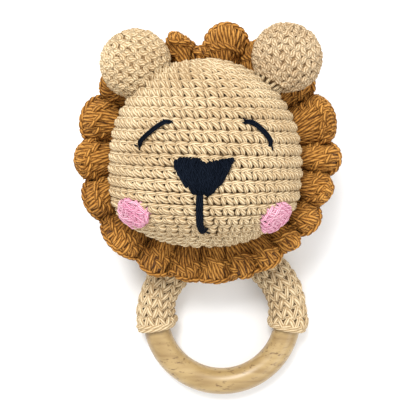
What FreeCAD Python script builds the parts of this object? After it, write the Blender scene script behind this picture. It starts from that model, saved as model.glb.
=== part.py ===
import FreeCAD, Part
import math
import os
import Sketcher
from FreeCAD import Placement, Rotation, Vector

# Crocheted lion rattle on a wooden teething ring, lying on its back with its face up.
#
# Frame: origin at the middle of the flat patch on which the back of the head rests, +Z out of the face,
# +Y towards the ears, -Y towards the ring. Millimetres.

OUT = "parts"
X_DIR, Z_DIR = Vector(1, 0, 0), Vector(0, 0, 1)

doc = FreeCAD.newDocument("lion_rattle")


# ---------------------------------------------------------------- driving dimensions

SIZES = {
    # head: a stuffed form of revolution about Y, outlined by four tangent arcs
    "head_radius": 34.5,
    "head_top": 38.4,
    "head_bottom": 27.8,
    "head_side_arc": 44.0,
    "head_corner_arc": 18.0,
    "head_bottom_arc": 50.0,
    "head_axis_z": 31.5,
    "head_tilt": 4.0,
    "crochet_wall": 2.4,
    "layer_gap": 0.1,
    "slab_side": 138.0,
    "slab_depth": 34.5,
    # ears: flattened stuffed balls sewn to the head
    "ear_radius": 12.9,
    "ear_depth": 9.0,
    "ear_z": 36.5,
    "left_ear_x": -24.3,
    "left_ear_y": 36.3,
    "right_ear_x": 28.7,
    "right_ear_y": 37.9,
    # mane: a ruffle of scallops behind the widest part of the face
    "mane_core_radius": 41.0,
    "mane_tip_radius": 47.8,
    "mane_scallop_radius": 9.2,
    "mane_scallops": 16,
    "mane_centre_x": 1.0,
    "mane_centre_y": 5.5,
    "mane_back_z": 18.5,
    "mane_thickness": 9.0,
    # wooden ring and its crocheted sleeve
    "ring_radius": 25.0,
    "ring_tube": 5.0,
    "ring_x": 6.3,
    "ring_y": -55.0,
    "ring_z": 7.3,
    "ring_tilt": 3.4,
    "sleeve_tube": 7.1,
    "sleeve_bore": 5.05,
    "sleeve_start": -9.5,
    "sleeve_sweep": 199.0,
    "seam_thread": 0.7,
    "seam_slant": 45.0,
    "seam_end": 2.0,
    # rattle capsule in the stuffing, with its pellets
    "capsule_radius": 14.0,
    "capsule_wall": 1.2,
    "capsule_lip": 1.5,
    "capsule_play": 0.03,
    "pellet_radius": 2.0,
    "pellet_play": 0.05,
    "pellet_rest_angle": 24.0,
    "pellet_count": 6,
    # embroidery
    "patch_height": 1.2,
    "patch_prism": 69.0,
    "mouth_half": 1.3,
    "eye_half": 0.7,
    "yarn_radius": 0.6,
    "stitch_half": 1.5,
    "ear_stitches": 12,
    "mane_stitches": 28,
    "neck_ties": 5,
    "neck_tie_step": 2.0,
    "neck_slant": 28.0,
    "neck_clearance": 0.45,
}

sheet = doc.addObject("Spreadsheet::Sheet", "Sizes")
for row, (alias, value) in enumerate(SIZES.items(), start=1):
    sheet.set("A%d" % row, alias)
    sheet.set("B%d" % row, str(value))
    sheet.setAlias("B%d" % row, alias)
doc.recompute()


def size(alias):
    """A driving dimension, read from the sheet."""
    return float(sheet.get(alias))


def bind(thing, **formulas):
    """Binds each property of an object to a formula of the sheet's cells."""
    for name, formula in formulas.items():
        thing.setExpression(name, formula)


# ---------------------------------------------------------------- small builders


def origin_plane(body, role):
    return next(f for f in body.Origin.OriginFeatures if f.Role == role)


def new_sketch(body, name, role="XY_Plane"):
    sketch = body.newObject("Sketcher::SketchObject", name)
    sketch.AttachmentSupport = [(origin_plane(body, role), "")]
    sketch.MapMode = "FlatFace"
    return sketch


def add_dimension(sketch, formula, *constraint):
    """Adds one dimensional constraint and drives it from the sheet."""
    index = sketch.addConstraint(Sketcher.Constraint(*constraint))
    sketch.setExpression("Constraints[%d]" % index, formula)


def add_circle(sketch, centre, radius, formula):
    index = sketch.addGeometry(Part.Circle(centre, Z_DIR, radius), False)
    add_dimension(sketch, formula, "Radius", index, radius)
    return index


def cut(label, base, tool):
    result = doc.addObject("Part::Cut", label)
    result.Label = label
    result.Base = base
    result.Tool = tool
    return result


def common(label, base, tool):
    result = doc.addObject("Part::Common", label)
    result.Label = label
    result.Base = base
    result.Tool = tool
    return result


def fuse(label, shapes):
    result = doc.addObject("Part::MultiFuse", label)
    result.Label = label
    result.Shapes = shapes
    return result


def group_of(label, solids):
    """One node that holds several separate solids, such as a row of stitches."""
    feature = doc.addObject("Part::Feature", label)
    feature.Label = label
    feature.Shape = Part.makeCompound(solids)
    return feature


def stitch_between(start, end, radius):
    """A short straight thread with round ends."""
    run = end - start
    solid = Part.makeCylinder(radius, run.Length, start, run)
    for tip in (start, end):
        solid = solid.fuse(Part.makeSphere(radius, tip))
    return solid.removeSplitter()


# ---------------------------------------------------------------- head


def head_outline(grow):
    """Tangent points and centres of the four arcs, the whole outline grown outwards by `grow`."""
    side, corner, bottom = size("head_side_arc"), size("head_corner_arc"), size("head_bottom_arc")
    side_x = size("head_radius") - side
    top_y = (side_x**2 - (side - size("head_top")) ** 2) / (2 * (side - size("head_top")))
    top = size("head_top") - top_y
    bottom_y = bottom - size("head_bottom")
    side_c, top_c, bottom_c = Vector(side_x, 0, 0), Vector(0, top_y, 0), Vector(0, bottom_y, 0)
    # the corner arc's centre is where two circles about the side and bottom centres cross
    reach_side, reach_bottom = side - corner, bottom - corner
    base = bottom_c - side_c
    along = (reach_side**2 - reach_bottom**2 + base.Length**2) / (2 * base.Length)
    across = math.sqrt(reach_side**2 - along**2)
    unit = base / base.Length
    corner_c = side_c + unit * along + Vector(unit.y, -unit.x, 0) * across

    def meet(outer, inner, radius):
        way = inner - outer
        return outer + way / way.Length * (radius + grow)

    return {
        "top": (top_c, top + grow),
        "side": (side_c, side + grow),
        "corner": (corner_c, corner + grow),
        "bottom": (bottom_c, bottom + grow),
        "pole": Vector(0, size("head_top") + grow, 0),
        "top_side": meet(side_c, top_c, side),
        "side_corner": meet(side_c, corner_c, side),
        "corner_bottom": meet(bottom_c, corner_c, bottom),
        "foot": Vector(0, -size("head_bottom") - grow, 0),
    }


def head_form(name, grow_formula, grow):
    """The head's form of revolution about Y, grown by the formula, on the head's own axis."""
    body = doc.addObject("PartDesign::Body", name)
    sketch = new_sketch(body, name + "_outline")
    o = head_outline(grow)

    def arc(which, first, last):
        """An arc running anticlockwise from first to last."""
        centre, radius = o[which]
        a, b = (o[p] - centre for p in (first, last))
        circle = Part.Circle(centre, Z_DIR, radius)
        return sketch.addGeometry(
            Part.ArcOfCircle(circle, math.atan2(a.y, a.x), math.atan2(b.y, b.x)), False
        )

    bottom = arc("bottom", "foot", "corner_bottom")
    corner = arc("corner", "corner_bottom", "side_corner")
    side = arc("side", "side_corner", "top_side")
    top = arc("top", "top_side", "pole")
    axis = sketch.addGeometry(Part.LineSegment(o["pole"], o["foot"]), False)
    start, end, centre = 1, 2, 3
    for first, second in ((bottom, corner), (corner, side), (side, top)):
        sketch.addConstraint(Sketcher.Constraint("Tangent", first, end, second, start))
    sketch.addConstraint(Sketcher.Constraint("Coincident", top, end, axis, start))
    sketch.addConstraint(Sketcher.Constraint("Coincident", axis, end, bottom, start))
    for thing, point in ((top, centre), (bottom, centre), (axis, start), (axis, end)):
        sketch.addConstraint(Sketcher.Constraint("PointOnObject", thing, point, -2))
    sketch.addConstraint(Sketcher.Constraint("PointOnObject", side, centre, -1))
    grown = "Sizes.%s + " + grow_formula
    add_dimension(sketch, grown % "head_side_arc", "Radius", side, o["side"][1])
    add_dimension(sketch, grown % "head_corner_arc", "Radius", corner, o["corner"][1])
    add_dimension(sketch, grown % "head_bottom_arc", "Radius", bottom, o["bottom"][1])
    add_dimension(
        sketch, "Sizes.head_side_arc - Sizes.head_radius", "DistanceX", side, centre, -1, 1, -o["side"][0].x
    )
    add_dimension(sketch, grown % "head_top", "DistanceY", -1, 1, axis, start, o["pole"].y)
    add_dimension(sketch, grown % "head_bottom", "DistanceY", axis, end, -1, 1, -o["foot"].y)
    turn = body.newObject("PartDesign::Revolution", name + "_turn")
    turn.Profile = sketch
    turn.ReferenceAxis = (sketch, ["V_Axis"])
    turn.Angle = 360.0
    body.Tip = turn
    body.Placement = Placement(Vector(0, 0, size("head_axis_z")), Rotation(X_DIR, size("head_tilt")))
    body.setExpression("Placement.Base.z", "Sizes.head_axis_z")
    body.setExpression("Placement.Rotation.Angle", "Sizes.head_tilt * 1deg")
    return body


def floor_block(name, top_formula):
    """A slab that reaches up to a height, to press the back of the head flat."""
    slab = doc.addObject("Part::Box", name)
    bind(slab, Length="Sizes.slab_side", Width="Sizes.slab_side", Height="Sizes.slab_depth")
    slab.setExpression("Placement.Base.x", "-Sizes.slab_side / 2")
    slab.setExpression("Placement.Base.y", "-Sizes.slab_side / 2")
    slab.setExpression("Placement.Base.z", top_formula + " - Sizes.slab_depth")
    return slab


wall, gap = size("crochet_wall"), size("layer_gap")

head_outside = head_form("head_outside", "0", 0.0)
head_lining = head_form("head_lining", "-Sizes.crochet_wall", -wall)
head_fill = head_form("head_fill", "-(Sizes.crochet_wall + Sizes.layer_gap)", -wall - gap)
head_clear = head_form("head_clear", "Sizes.layer_gap", gap)

table = floor_block("table", "0")
inside_floor = floor_block("inside_floor", "Sizes.crochet_wall")
fill_floor = floor_block("fill_floor", "(Sizes.crochet_wall + Sizes.layer_gap)")

head_pressed = cut("head_pressed", head_outside, table)
lining_pressed = cut("lining_pressed", head_lining, inside_floor)
head_cover = cut("head_cover", head_pressed, lining_pressed)

capsule_room = doc.addObject("Part::Sphere", "capsule_room")
bind(capsule_room, Radius="Sizes.capsule_radius + Sizes.layer_gap")
capsule_room.setExpression("Placement.Base.z", "Sizes.head_axis_z")
fill_pressed = cut("fill_pressed", head_fill, fill_floor)
head_stuffing = cut("head_stuffing", fill_pressed, capsule_room)


# ---------------------------------------------------------------- rattle capsule


def capsule_half(label, side):
    """Half of the hollow ball. The front half, side +1, has a lip that snaps inside the back half's rim."""
    body = doc.addObject("PartDesign::Body", label)
    body.Label = label
    sketch = new_sketch(body, label + "_section", "XZ_Plane")
    outer, lip = size("capsule_radius"), size("capsule_lip")
    inner = outer - size("capsule_wall")
    step = (outer + inner) / 2 - side * size("capsule_play")
    shelf = -lip if side > 0 else -lip - size("capsule_play")
    foot = Vector(math.sqrt(inner**2 - shelf**2), shelf, 0)
    slant = math.sqrt(0.5)
    corners = [
        Vector(0, side * inner, 0), Vector(0, side * outer, 0), Vector(outer, 0, 0), Vector(step, 0, 0),
        Vector(step, shelf, 0), foot,
    ]
    over_outside = Vector(slant * outer, side * slant * outer, 0)
    over_inside = Vector(slant * inner, side * slant * inner, 0)
    edges = [
        Part.LineSegment(corners[0], corners[1]),
        Part.Arc(corners[1], over_outside, corners[2]),
        Part.LineSegment(corners[2], corners[3]),
        Part.LineSegment(corners[3], corners[4]),
        Part.LineSegment(corners[4], corners[5]),
        Part.Arc(corners[5], over_inside, corners[0]),
    ]
    sketch.addGeometry(edges, False)
    turn = body.newObject("PartDesign::Revolution", label + "_turn")
    turn.Profile = sketch
    turn.ReferenceAxis = (sketch, ["V_Axis"])
    turn.Angle = 360.0
    body.Tip = turn
    body.setExpression("Placement.Base.z", "Sizes.head_axis_z")
    return body


capsule_front = capsule_half("capsule_front", 1)
capsule_back = capsule_half("capsule_back", -1)


def pellet(number):
    """A loose pellet at rest low in the capsule, one of a ring of them round its lowest point."""
    label = "pellet_%d" % number
    ball = doc.addObject("Part::Sphere", label)
    ball.Label = label
    bind(ball, Radius="Sizes.pellet_radius")
    reach = "(Sizes.capsule_radius - Sizes.capsule_wall - Sizes.pellet_radius - Sizes.pellet_play)"
    around = "360 * %d / Sizes.pellet_count" % (number - 1)
    ball.setExpression(
        "Placement.Base.x", "%s * sin(Sizes.pellet_rest_angle * 1deg) * cos(%s * 1deg)" % (reach, around)
    )
    ball.setExpression(
        "Placement.Base.y", "%s * sin(Sizes.pellet_rest_angle * 1deg) * sin(%s * 1deg)" % (reach, around)
    )
    ball.setExpression(
        "Placement.Base.z", "Sizes.head_axis_z - %s * cos(Sizes.pellet_rest_angle * 1deg)" % reach
    )
    return ball


pellets = [pellet(n) for n in range(1, int(size("pellet_count")) + 1)]


# ---------------------------------------------------------------- ears


def ear_form(name, side, less):
    """A flattened ball, `less` smaller all round than the ear."""
    ball = doc.addObject("Part::Ellipsoid", name)
    bind(
        ball,
        Radius1="Sizes.ear_depth - %s" % less,
        Radius2="Sizes.ear_radius - %s" % less,
        Radius3="Sizes.ear_radius - %s" % less,
    )
    ball.setExpression("Placement.Base.x", "Sizes.%s_ear_x" % side)
    ball.setExpression("Placement.Base.y", "Sizes.%s_ear_y" % side)
    ball.setExpression("Placement.Base.z", "Sizes.ear_z")
    return ball


def ear(side):
    """The crocheted cup of one ear and the stuffing in it, both cut to the head's curve."""
    outside = ear_form(side + "_ear_outside", side, "0")
    lining = ear_form(side + "_ear_lining", side, "Sizes.crochet_wall")
    fill = ear_form(side + "_ear_fill", side, "(Sizes.crochet_wall + Sizes.layer_gap)")
    cup = cut(side + "_ear_cup", outside, lining)
    return (
        cut(side + "_ear_cover", cup, head_clear),
        cut(side + "_ear_stuffing", fill, head_clear),
        outside,
    )


left_ear_cover, left_ear_stuffing, left_ear_outside = ear("left")
right_ear_cover, right_ear_stuffing, right_ear_outside = ear("right")


# ---------------------------------------------------------------- mane

mane_form = doc.addObject("PartDesign::Body", "mane_form")
core_sketch = new_sketch(mane_form, "mane_core_circle")
add_circle(core_sketch, Vector(0, 0, 0), size("mane_core_radius"), "Sizes.mane_core_radius")
core = mane_form.newObject("PartDesign::Pad", "mane_core")
core.Profile = core_sketch
core.setExpression("Length", "Sizes.mane_thickness")
scallop_sketch = new_sketch(mane_form, "mane_scallop_circle")
scallop_x = size("mane_tip_radius") - size("mane_scallop_radius")
scallop_circle = add_circle(
    scallop_sketch, Vector(scallop_x, 0, 0), size("mane_scallop_radius"), "Sizes.mane_scallop_radius"
)
add_dimension(
    scallop_sketch,
    "Sizes.mane_tip_radius - Sizes.mane_scallop_radius",
    "DistanceX", -1, 1, scallop_circle, 3, scallop_x,
)
scallop_sketch.addConstraint(Sketcher.Constraint("PointOnObject", scallop_circle, 3, -1))
scallop = mane_form.newObject("PartDesign::Pad", "mane_scallop")
scallop.Profile = scallop_sketch
scallop.setExpression("Length", "Sizes.mane_thickness")
doc.recompute()
scallops = mane_form.newObject("PartDesign::PolarPattern", "mane_scallops")
scallops.Originals = [scallop]
scallops.Axis = (core_sketch, ["N_Axis"])
scallops.Angle = 360.0
scallops.setExpression("Occurrences", "Sizes.mane_scallops")
mane_form.Tip = scallops
mane_form.setExpression("Placement.Base.x", "Sizes.mane_centre_x")
mane_form.setExpression("Placement.Base.y", "Sizes.mane_centre_y")
mane_form.setExpression("Placement.Base.z", "Sizes.mane_back_z")
mane = cut("mane", mane_form, head_clear)


# ---------------------------------------------------------------- wooden ring and sleeve


def ring_placement(turn=0.0):
    centre = Vector(size("ring_x"), size("ring_y"), size("ring_z"))
    return Placement(centre, Rotation(X_DIR, size("ring_tilt")) * Rotation(Z_DIR, turn))


wooden_ring = doc.addObject("PartDesign::Body", "wooden_ring")
wooden_ring.Label = "wooden_ring"
ring_sketch = new_sketch(wooden_ring, "ring_section", "XZ_Plane")
ring_circle = add_circle(ring_sketch, Vector(size("ring_radius"), 0, 0), size("ring_tube"), "Sizes.ring_tube")
add_dimension(
    ring_sketch, "Sizes.ring_radius", "DistanceX", -1, 1, ring_circle, 3, size("ring_radius")
)
ring_sketch.addConstraint(Sketcher.Constraint("PointOnObject", ring_circle, 3, -1))
ring_turn = wooden_ring.newObject("PartDesign::Revolution", "ring_turn")
ring_turn.Profile = ring_sketch
ring_turn.ReferenceAxis = (ring_sketch, ["V_Axis"])
ring_turn.Angle = 360.0
wooden_ring.Tip = ring_turn
wooden_ring.Placement = ring_placement()


def torus(name, major, minor, sweep=None, turn=0.0, lift=None):
    """A torus about the ring's axis, or an arc of one."""
    solid = doc.addObject("Part::Torus", name)
    bind(solid, Radius1=major, Radius2=minor)
    if sweep:
        solid.setExpression("Angle3", sweep)
    place = ring_placement(turn)
    if lift:
        place = place.multiply(Placement(Vector(0, 0, lift), Rotation()))
    solid.Placement = place
    return solid


sleeve_outside = torus(
    "sleeve_outside", "Sizes.ring_radius", "Sizes.sleeve_tube", "Sizes.sleeve_sweep", size("sleeve_start")
)
sleeve_bore = torus("sleeve_bore", "Sizes.ring_radius", "Sizes.sleeve_bore")

# the lacing that closes the sleeve runs along its inner back edge, half sunk in the fabric
seam_across = "Sizes.ring_radius - Sizes.sleeve_tube * cos(Sizes.seam_slant * 1deg)"
seam_drop = -size("sleeve_tube") * math.sin(math.radians(size("seam_slant")))
seam_groove = torus("seam_groove", seam_across, "Sizes.seam_thread + Sizes.layer_gap / 2", lift=seam_drop)
sleeve_seam_thread = torus(
    "sleeve_seam_thread",
    seam_across,
    "Sizes.seam_thread",
    "Sizes.sleeve_sweep - 2 * Sizes.seam_end",
    size("sleeve_start") + size("seam_end"),
    seam_drop,
)
sleeve_seam_thread.Label = "sleeve_seam_thread"
sleeve_form = cut("sleeve_form", sleeve_outside, sleeve_bore)
ring_sleeve = cut("ring_sleeve", sleeve_form, seam_groove)


# ---------------------------------------------------------------- embroidery

stitch_top = head_form("stitch_top", "Sizes.patch_height", size("patch_height"))
face_skin = cut("face_skin", stitch_top, head_clear)


def from_outline(label, edges):
    """An embroidered patch: an outline seen from the front, laid on the curved face."""
    body = doc.addObject("PartDesign::Body", label + "_prism")
    sketch = new_sketch(body, label + "_outline")
    sketch.addGeometry(edges, False)
    pad = body.newObject("PartDesign::Pad", label + "_pad")
    pad.Profile = sketch
    pad.setExpression("Length", "Sizes.patch_prism")
    body.setExpression("Placement.Base.z", "Sizes.head_axis_z")
    return common(label, body, face_skin)


def polygon(points):
    """Straight edges through the points, closed."""
    return [
        Part.LineSegment(Vector(*points[i - 1], 0), Vector(*points[i], 0)) for i in range(len(points))
    ]


def ribbon(points, half_width):
    """The outline of a stitched line of even width through the points."""
    left, right = [], []
    for i, (x, y) in enumerate(points):
        x0, y0 = points[max(i - 1, 0)]
        x1, y1 = points[min(i + 1, len(points) - 1)]
        run = math.hypot(x1 - x0, y1 - y0)
        nx, ny = -(y1 - y0) / run * half_width, (x1 - x0) / run * half_width
        left.append((x + nx, y + ny))
        right.append((x - nx, y - ny))
    return polygon(left + right[::-1])


NOSE = [
    (-9.5, 1.4), (-7.6, 2.3), (-3.7, 2.4), (1.1, 0.7), (3.4, 1.4), (8.9, 1.9), (8.6, 0.4), (6.6, -4.2),
    (4.3, -7.7), (1.4, -10.5), (-2.8, -10.5), (-7.7, -5.4), (-9.0, -1.9),
]
MOUTH = [(-1.5, -10.7), (-1.5, -15.5), (-1.4, -20.3), (0.6, -21.6)]
LEFT_EYE = [(-21.5, 5.8), (-20.4, 7.9), (-18.0, 10.1), (-15.3, 12.2), (-13.0, 13.5), (-10.7, 14.0)]
RIGHT_EYE = [(12.6, 14.1), (15.6, 13.4), (18.2, 11.5), (20.6, 8.9), (21.9, 5.8)]
LEFT_CHEEK = [
    (-29.8, -12.5), (-27.7, -10.6), (-22.9, -11.5), (-20.5, -13.9), (-17.8, -16.5), (-19.6, -20.6),
    (-23.5, -20.8), (-27.0, -19.0), (-29.1, -16.3),
]
RIGHT_CHEEK = [
    (26.0, -12.2), (29.8, -14.2), (28.9, -17.4), (25.6, -20.6), (21.7, -22.0), (19.2, -21.8),
    (19.1, -17.5), (21.4, -14.2),
]

nose = from_outline("nose", polygon(NOSE))
mouth_stitch = from_outline("mouth_stitch", ribbon(MOUTH, size("mouth_half")))
left_eye_stitch = from_outline("left_eye_stitch", ribbon(LEFT_EYE, size("eye_half")))
right_eye_stitch = from_outline("right_eye_stitch", ribbon(RIGHT_EYE, size("eye_half")))
left_cheek = from_outline("left_cheek", polygon(LEFT_CHEEK))
right_cheek = from_outline("right_cheek", polygon(RIGHT_CHEEK))
doc.recompute()


# ---------------------------------------------------------------- sewing threads


def ear_seam(side, outside):
    """Short stitches across the line where an ear meets the head."""
    seam = outside.Shape.section(head_outside.Shape)
    wire = Part.Wire(Part.__sortEdges__(seam.Edges))
    out = Vector(size(side + "_ear_x"), size(side + "_ear_y"), 0)
    half = out / out.Length * size("stitch_half")
    points = wire.discretize(Number=int(size("ear_stitches")) + 1)[:-1]
    solids = [stitch_between(p - half, p + half, size("yarn_radius")) for p in points]
    return group_of(side + "_ear_thread", solids)


def mane_seam():
    """Stitches that run out from the head's fabric into the inner edge of the mane."""
    middle = size("mane_back_z") + size("mane_thickness") / 2
    level = head_outside.Shape.slice(Z_DIR, middle)[0]
    solids = []
    for point in level.discretize(Number=int(size("mane_stitches")) + 1)[:-1]:
        out = Vector(point.x, point.y, 0)
        half = out / out.Length * size("stitch_half")
        solids.append(stitch_between(point - half, point + half, size("yarn_radius")))
    return group_of("mane_thread", solids)


def neck_seam():
    """Ties in the head's underside that end just short of the top of the sleeve."""
    slant, radius = math.radians(size("neck_slant")), size("yarn_radius")
    out = Vector(0, math.cos(slant), math.sin(slant))
    ties = int(size("neck_ties"))
    solids = []
    for tie in range(ties):
        across = (tie - (ties - 1) / 2) * size("neck_tie_step")
        along = math.sqrt(size("ring_radius") ** 2 - across**2)
        centre = ring_placement().multVec(Vector(across, along, 0))
        near = centre + out * (size("sleeve_tube") + radius + size("neck_clearance"))
        solids.append(stitch_between(near, near + out * size("stitch_half"), radius))
    return group_of("neck_thread", solids)


left_ear_thread = ear_seam("left", left_ear_outside)
right_ear_thread = ear_seam("right", right_ear_outside)
mane_thread = mane_seam()
neck_thread = neck_seam()
doc.recompute()


# ---------------------------------------------------------------- check and write

NODES = [
    head_cover, head_stuffing, capsule_front, capsule_back, *pellets,
    left_ear_cover, left_ear_stuffing, left_ear_thread, right_ear_cover, right_ear_stuffing, right_ear_thread,
    mane, mane_thread, wooden_ring, ring_sleeve, sleeve_seam_thread, neck_thread,
    nose, mouth_stitch, left_eye_stitch, right_eye_stitch, left_cheek, right_cheek,
]

for thing in doc.Objects:
    bad = [state for state in thing.State if state in ("Invalid", "Error")]
    if bad:
        raise RuntimeError("%s did not recompute: %s" % (thing.Name, bad))

os.makedirs(OUT, exist_ok=True)
for node in NODES:
    shape = node.Shape
    if shape.isNull() or not shape.isValid() or shape.Volume <= 0:
        raise RuntimeError("%s has no valid solid" % node.Label)
    shape.exportStep(os.path.join(OUT, node.Label + ".step"))
    print("%-20s solids %2d  volume %9.1f" % (node.Label, len(shape.Solids), shape.Volume))
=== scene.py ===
# %% [markdown]
# # A crocheted lion rattle on a wooden ring
# The toy lies on its back: the head and ears are stuffed crochet, the mane is a gathered crocheted frill,
# and a turned wooden ring is laced into a crocheted sleeve under the chin. The frame from the CAD model says
# where each piece sits and what it moves with. Everything here is the skin of that frame.

# %% Load the frame
import math
import bmesh
import bpy
import numpy as np
from mathutils import Matrix, Vector


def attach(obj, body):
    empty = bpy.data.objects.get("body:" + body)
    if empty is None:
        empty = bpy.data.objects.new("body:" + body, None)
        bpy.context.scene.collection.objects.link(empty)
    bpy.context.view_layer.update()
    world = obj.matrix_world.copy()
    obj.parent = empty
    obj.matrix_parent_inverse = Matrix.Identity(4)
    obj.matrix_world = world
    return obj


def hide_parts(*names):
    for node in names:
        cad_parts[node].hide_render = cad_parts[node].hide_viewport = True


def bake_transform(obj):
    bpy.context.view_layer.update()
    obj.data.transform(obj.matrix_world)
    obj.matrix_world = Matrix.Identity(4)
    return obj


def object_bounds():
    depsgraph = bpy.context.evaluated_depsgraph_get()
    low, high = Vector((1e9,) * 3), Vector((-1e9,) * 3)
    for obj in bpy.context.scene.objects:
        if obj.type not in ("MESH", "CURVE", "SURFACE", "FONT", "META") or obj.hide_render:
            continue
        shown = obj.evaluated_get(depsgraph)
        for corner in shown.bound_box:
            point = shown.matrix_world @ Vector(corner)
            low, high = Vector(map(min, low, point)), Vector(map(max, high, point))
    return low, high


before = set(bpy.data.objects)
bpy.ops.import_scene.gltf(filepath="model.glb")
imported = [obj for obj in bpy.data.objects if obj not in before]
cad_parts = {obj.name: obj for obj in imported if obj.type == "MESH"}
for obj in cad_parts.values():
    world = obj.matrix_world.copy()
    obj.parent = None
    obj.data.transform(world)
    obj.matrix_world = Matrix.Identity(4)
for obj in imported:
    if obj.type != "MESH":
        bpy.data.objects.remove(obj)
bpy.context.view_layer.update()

# %% [markdown]
# ## Measures
# Lengths are in millimetres up to the moment a mesh is made, where MM turns them into metres. A real crochet
# pattern has a gauge, which is the width and height of one stitch. The counts on the head and the ears are
# worked out from it.

# %% The maker's measures
MM = 0.001
HEAD_STITCH, EAR_STITCH, SLEEVE_STITCH_WIDTH = (4.35, 4.25), (4.2, 2.95), 3.86
rng = np.random.default_rng(7)

HEAD_R, HEAD_TOP, HEAD_FOOT = 34.5, 38.4, 27.8
SIDE_ARC, CORNER_ARC, FOOT_ARC = 44.0, 18.0, 50.0
HEAD_Z, HEAD_TILT = 31.5, math.radians(4.0)
KNIT_DEPTH = 1.5

RING_CENTRE = np.array([6.3, -55.0, 7.3])
RING_R, RING_TUBE, RING_TILT = 25.0, 5.0, math.radians(3.4)
MANE_CENTRE = np.array([1.0, 5.5])


def unit(v):
    """Vectors of length one, along the last axis."""
    return v / np.maximum(np.linalg.norm(v, axis=-1, keepdims=True), 1e-9)


# %% [markdown]
# ## Yarn
# Cotton yarn is a few thin plies twisted together. At this scale the plies show as fine slanting ridges, so
# the yarn's colour and bump both read the piece's own UV map, in which u is the length along the strand and
# v goes once round it. One node group makes the ridges, and each colour of yarn uses it with its own values.

# %% The shared ply pattern


def new_group(name, inputs, outputs):
    """A shader node group with float inputs and outputs, returned with its two end nodes."""
    group = bpy.data.node_groups.new(name, "ShaderNodeTree")
    for label, value in inputs.items():
        socket = group.interface.new_socket(label, in_out="INPUT", socket_type="NodeSocketFloat")
        socket.default_value = value
    for label in outputs:
        group.interface.new_socket(label, in_out="OUTPUT", socket_type="NodeSocketFloat")
    return group, group.nodes.new("NodeGroupInput"), group.nodes.new("NodeGroupOutput")


def math_node(tree, operation, *values):
    """A math node, with each value either a number or a socket to link."""
    node = tree.nodes.new("ShaderNodeMath")
    node.operation = operation
    for socket, value in zip(node.inputs, values):
        if isinstance(value, (int, float)):
            socket.default_value = value
        else:
            tree.links.new(value, socket)
    return node.outputs[0]


def noise_node(tree, vector, scale, detail=3.0, distortion=0.0):
    node = tree.nodes.new("ShaderNodeTexNoise")
    node.inputs["Scale"].default_value = scale
    node.inputs["Detail"].default_value = detail
    node.inputs["Distortion"].default_value = distortion
    tree.links.new(vector, node.inputs["Vector"])
    return node.outputs[0]


def bump_from(tree, height, distance, strength=0.6):
    node = tree.nodes.new("ShaderNodeBump")
    node.inputs["Strength"].default_value = strength
    node.inputs["Distance"].default_value = distance
    tree.links.new(height, node.inputs["Height"])
    return node.outputs[0]


def make_ply_group():
    """Ridge is 1 on top of a ply and 0 between two. Tone wanders slowly and Fibre quickly."""
    tree, start, end = new_group("spun yarn", {"Plies": 6.0, "Lay": 0.003}, ["Ridge", "Tone", "Fibre"])
    uv = tree.nodes.new("ShaderNodeUVMap")
    uv.uv_map = "UVMap"
    split = tree.nodes.new("ShaderNodeSeparateXYZ")
    tree.links.new(uv.outputs[0], split.inputs[0])
    around = math_node(tree, "MULTIPLY", split.outputs[1], start.outputs["Plies"])
    along = math_node(tree, "DIVIDE", split.outputs[0], start.outputs["Lay"])
    turn = math_node(tree, "MULTIPLY", math_node(tree, "ADD", around, along), math.pi)
    ridge = math_node(tree, "ABSOLUTE", math_node(tree, "SINE", turn))
    tree.links.new(ridge, end.inputs["Ridge"])
    place = tree.nodes.new("ShaderNodeTexCoord")
    for label, scale, detail in (("Tone", 90.0, 2.0), ("Fibre", 1500.0, 3.0)):
        tree.links.new(noise_node(tree, place.outputs["Object"], scale, detail), end.inputs[label])
    return tree


ply_group = make_ply_group()


def ramp_node(tree, factor, stops):
    """A colour ramp with (position, linear colour) stops."""
    node = tree.nodes.new("ShaderNodeValToRGB")
    ramp = node.color_ramp
    while len(ramp.elements) < len(stops):
        ramp.elements.new(0.5)
    for element, (position, colour) in zip(ramp.elements, stops):
        element.position = position
        element.color = (*colour, 1.0)
    tree.links.new(factor, node.inputs[0])
    return node.outputs[0]


def yarn_material(name, dark, middle, light, plies=6.0, lay=0.0030, depth=0.00026, sheen=0.1, gloss=0.2):
    """Matt twisted cotton in three tones, mixed by noise for its uneven tone and by the plies: painted shade
    between them, the yarn's tone on them, and a painted highlight on their crowns.
    """
    material = bpy.data.materials.new(name)
    material.use_nodes = True
    tree = material.node_tree
    shader = tree.nodes["Principled BSDF"]
    ply = tree.nodes.new("ShaderNodeGroup")
    ply.node_tree = ply_group
    ply.inputs["Plies"].default_value = plies
    ply.inputs["Lay"].default_value = lay
    tone = math_node(tree, "MULTIPLY", ply.outputs["Tone"], 0.5)
    fibre = math_node(tree, "MULTIPLY", ply.outputs["Fibre"], 0.4)
    # the ply ridge in the colour is painted shade between the plies and a painted highlight on their crowns
    ridge = math_node(tree, "MULTIPLY", ply.outputs["Ridge"], 0.5)
    mix = math_node(tree, "ADD", math_node(tree, "ADD", tone, fibre), ridge)
    colour = ramp_node(tree, mix, [(0.45, dark), (0.75, middle), (1.0, light)])
    tree.links.new(colour, shader.inputs["Base Color"])
    shader.inputs["Roughness"].default_value = 0.78
    shader.inputs["Specular IOR Level"].default_value = gloss
    shader.inputs["Sheen Weight"].default_value = sheen
    shader.inputs["Sheen Roughness"].default_value = 0.45
    shader.inputs["Sheen Tint"].default_value = (*light, 1.0)
    height = math_node(tree, "ADD", ply.outputs["Ridge"], fibre)
    tree.links.new(bump_from(tree, height, depth, 0.9), shader.inputs["Normal"])
    return material


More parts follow.
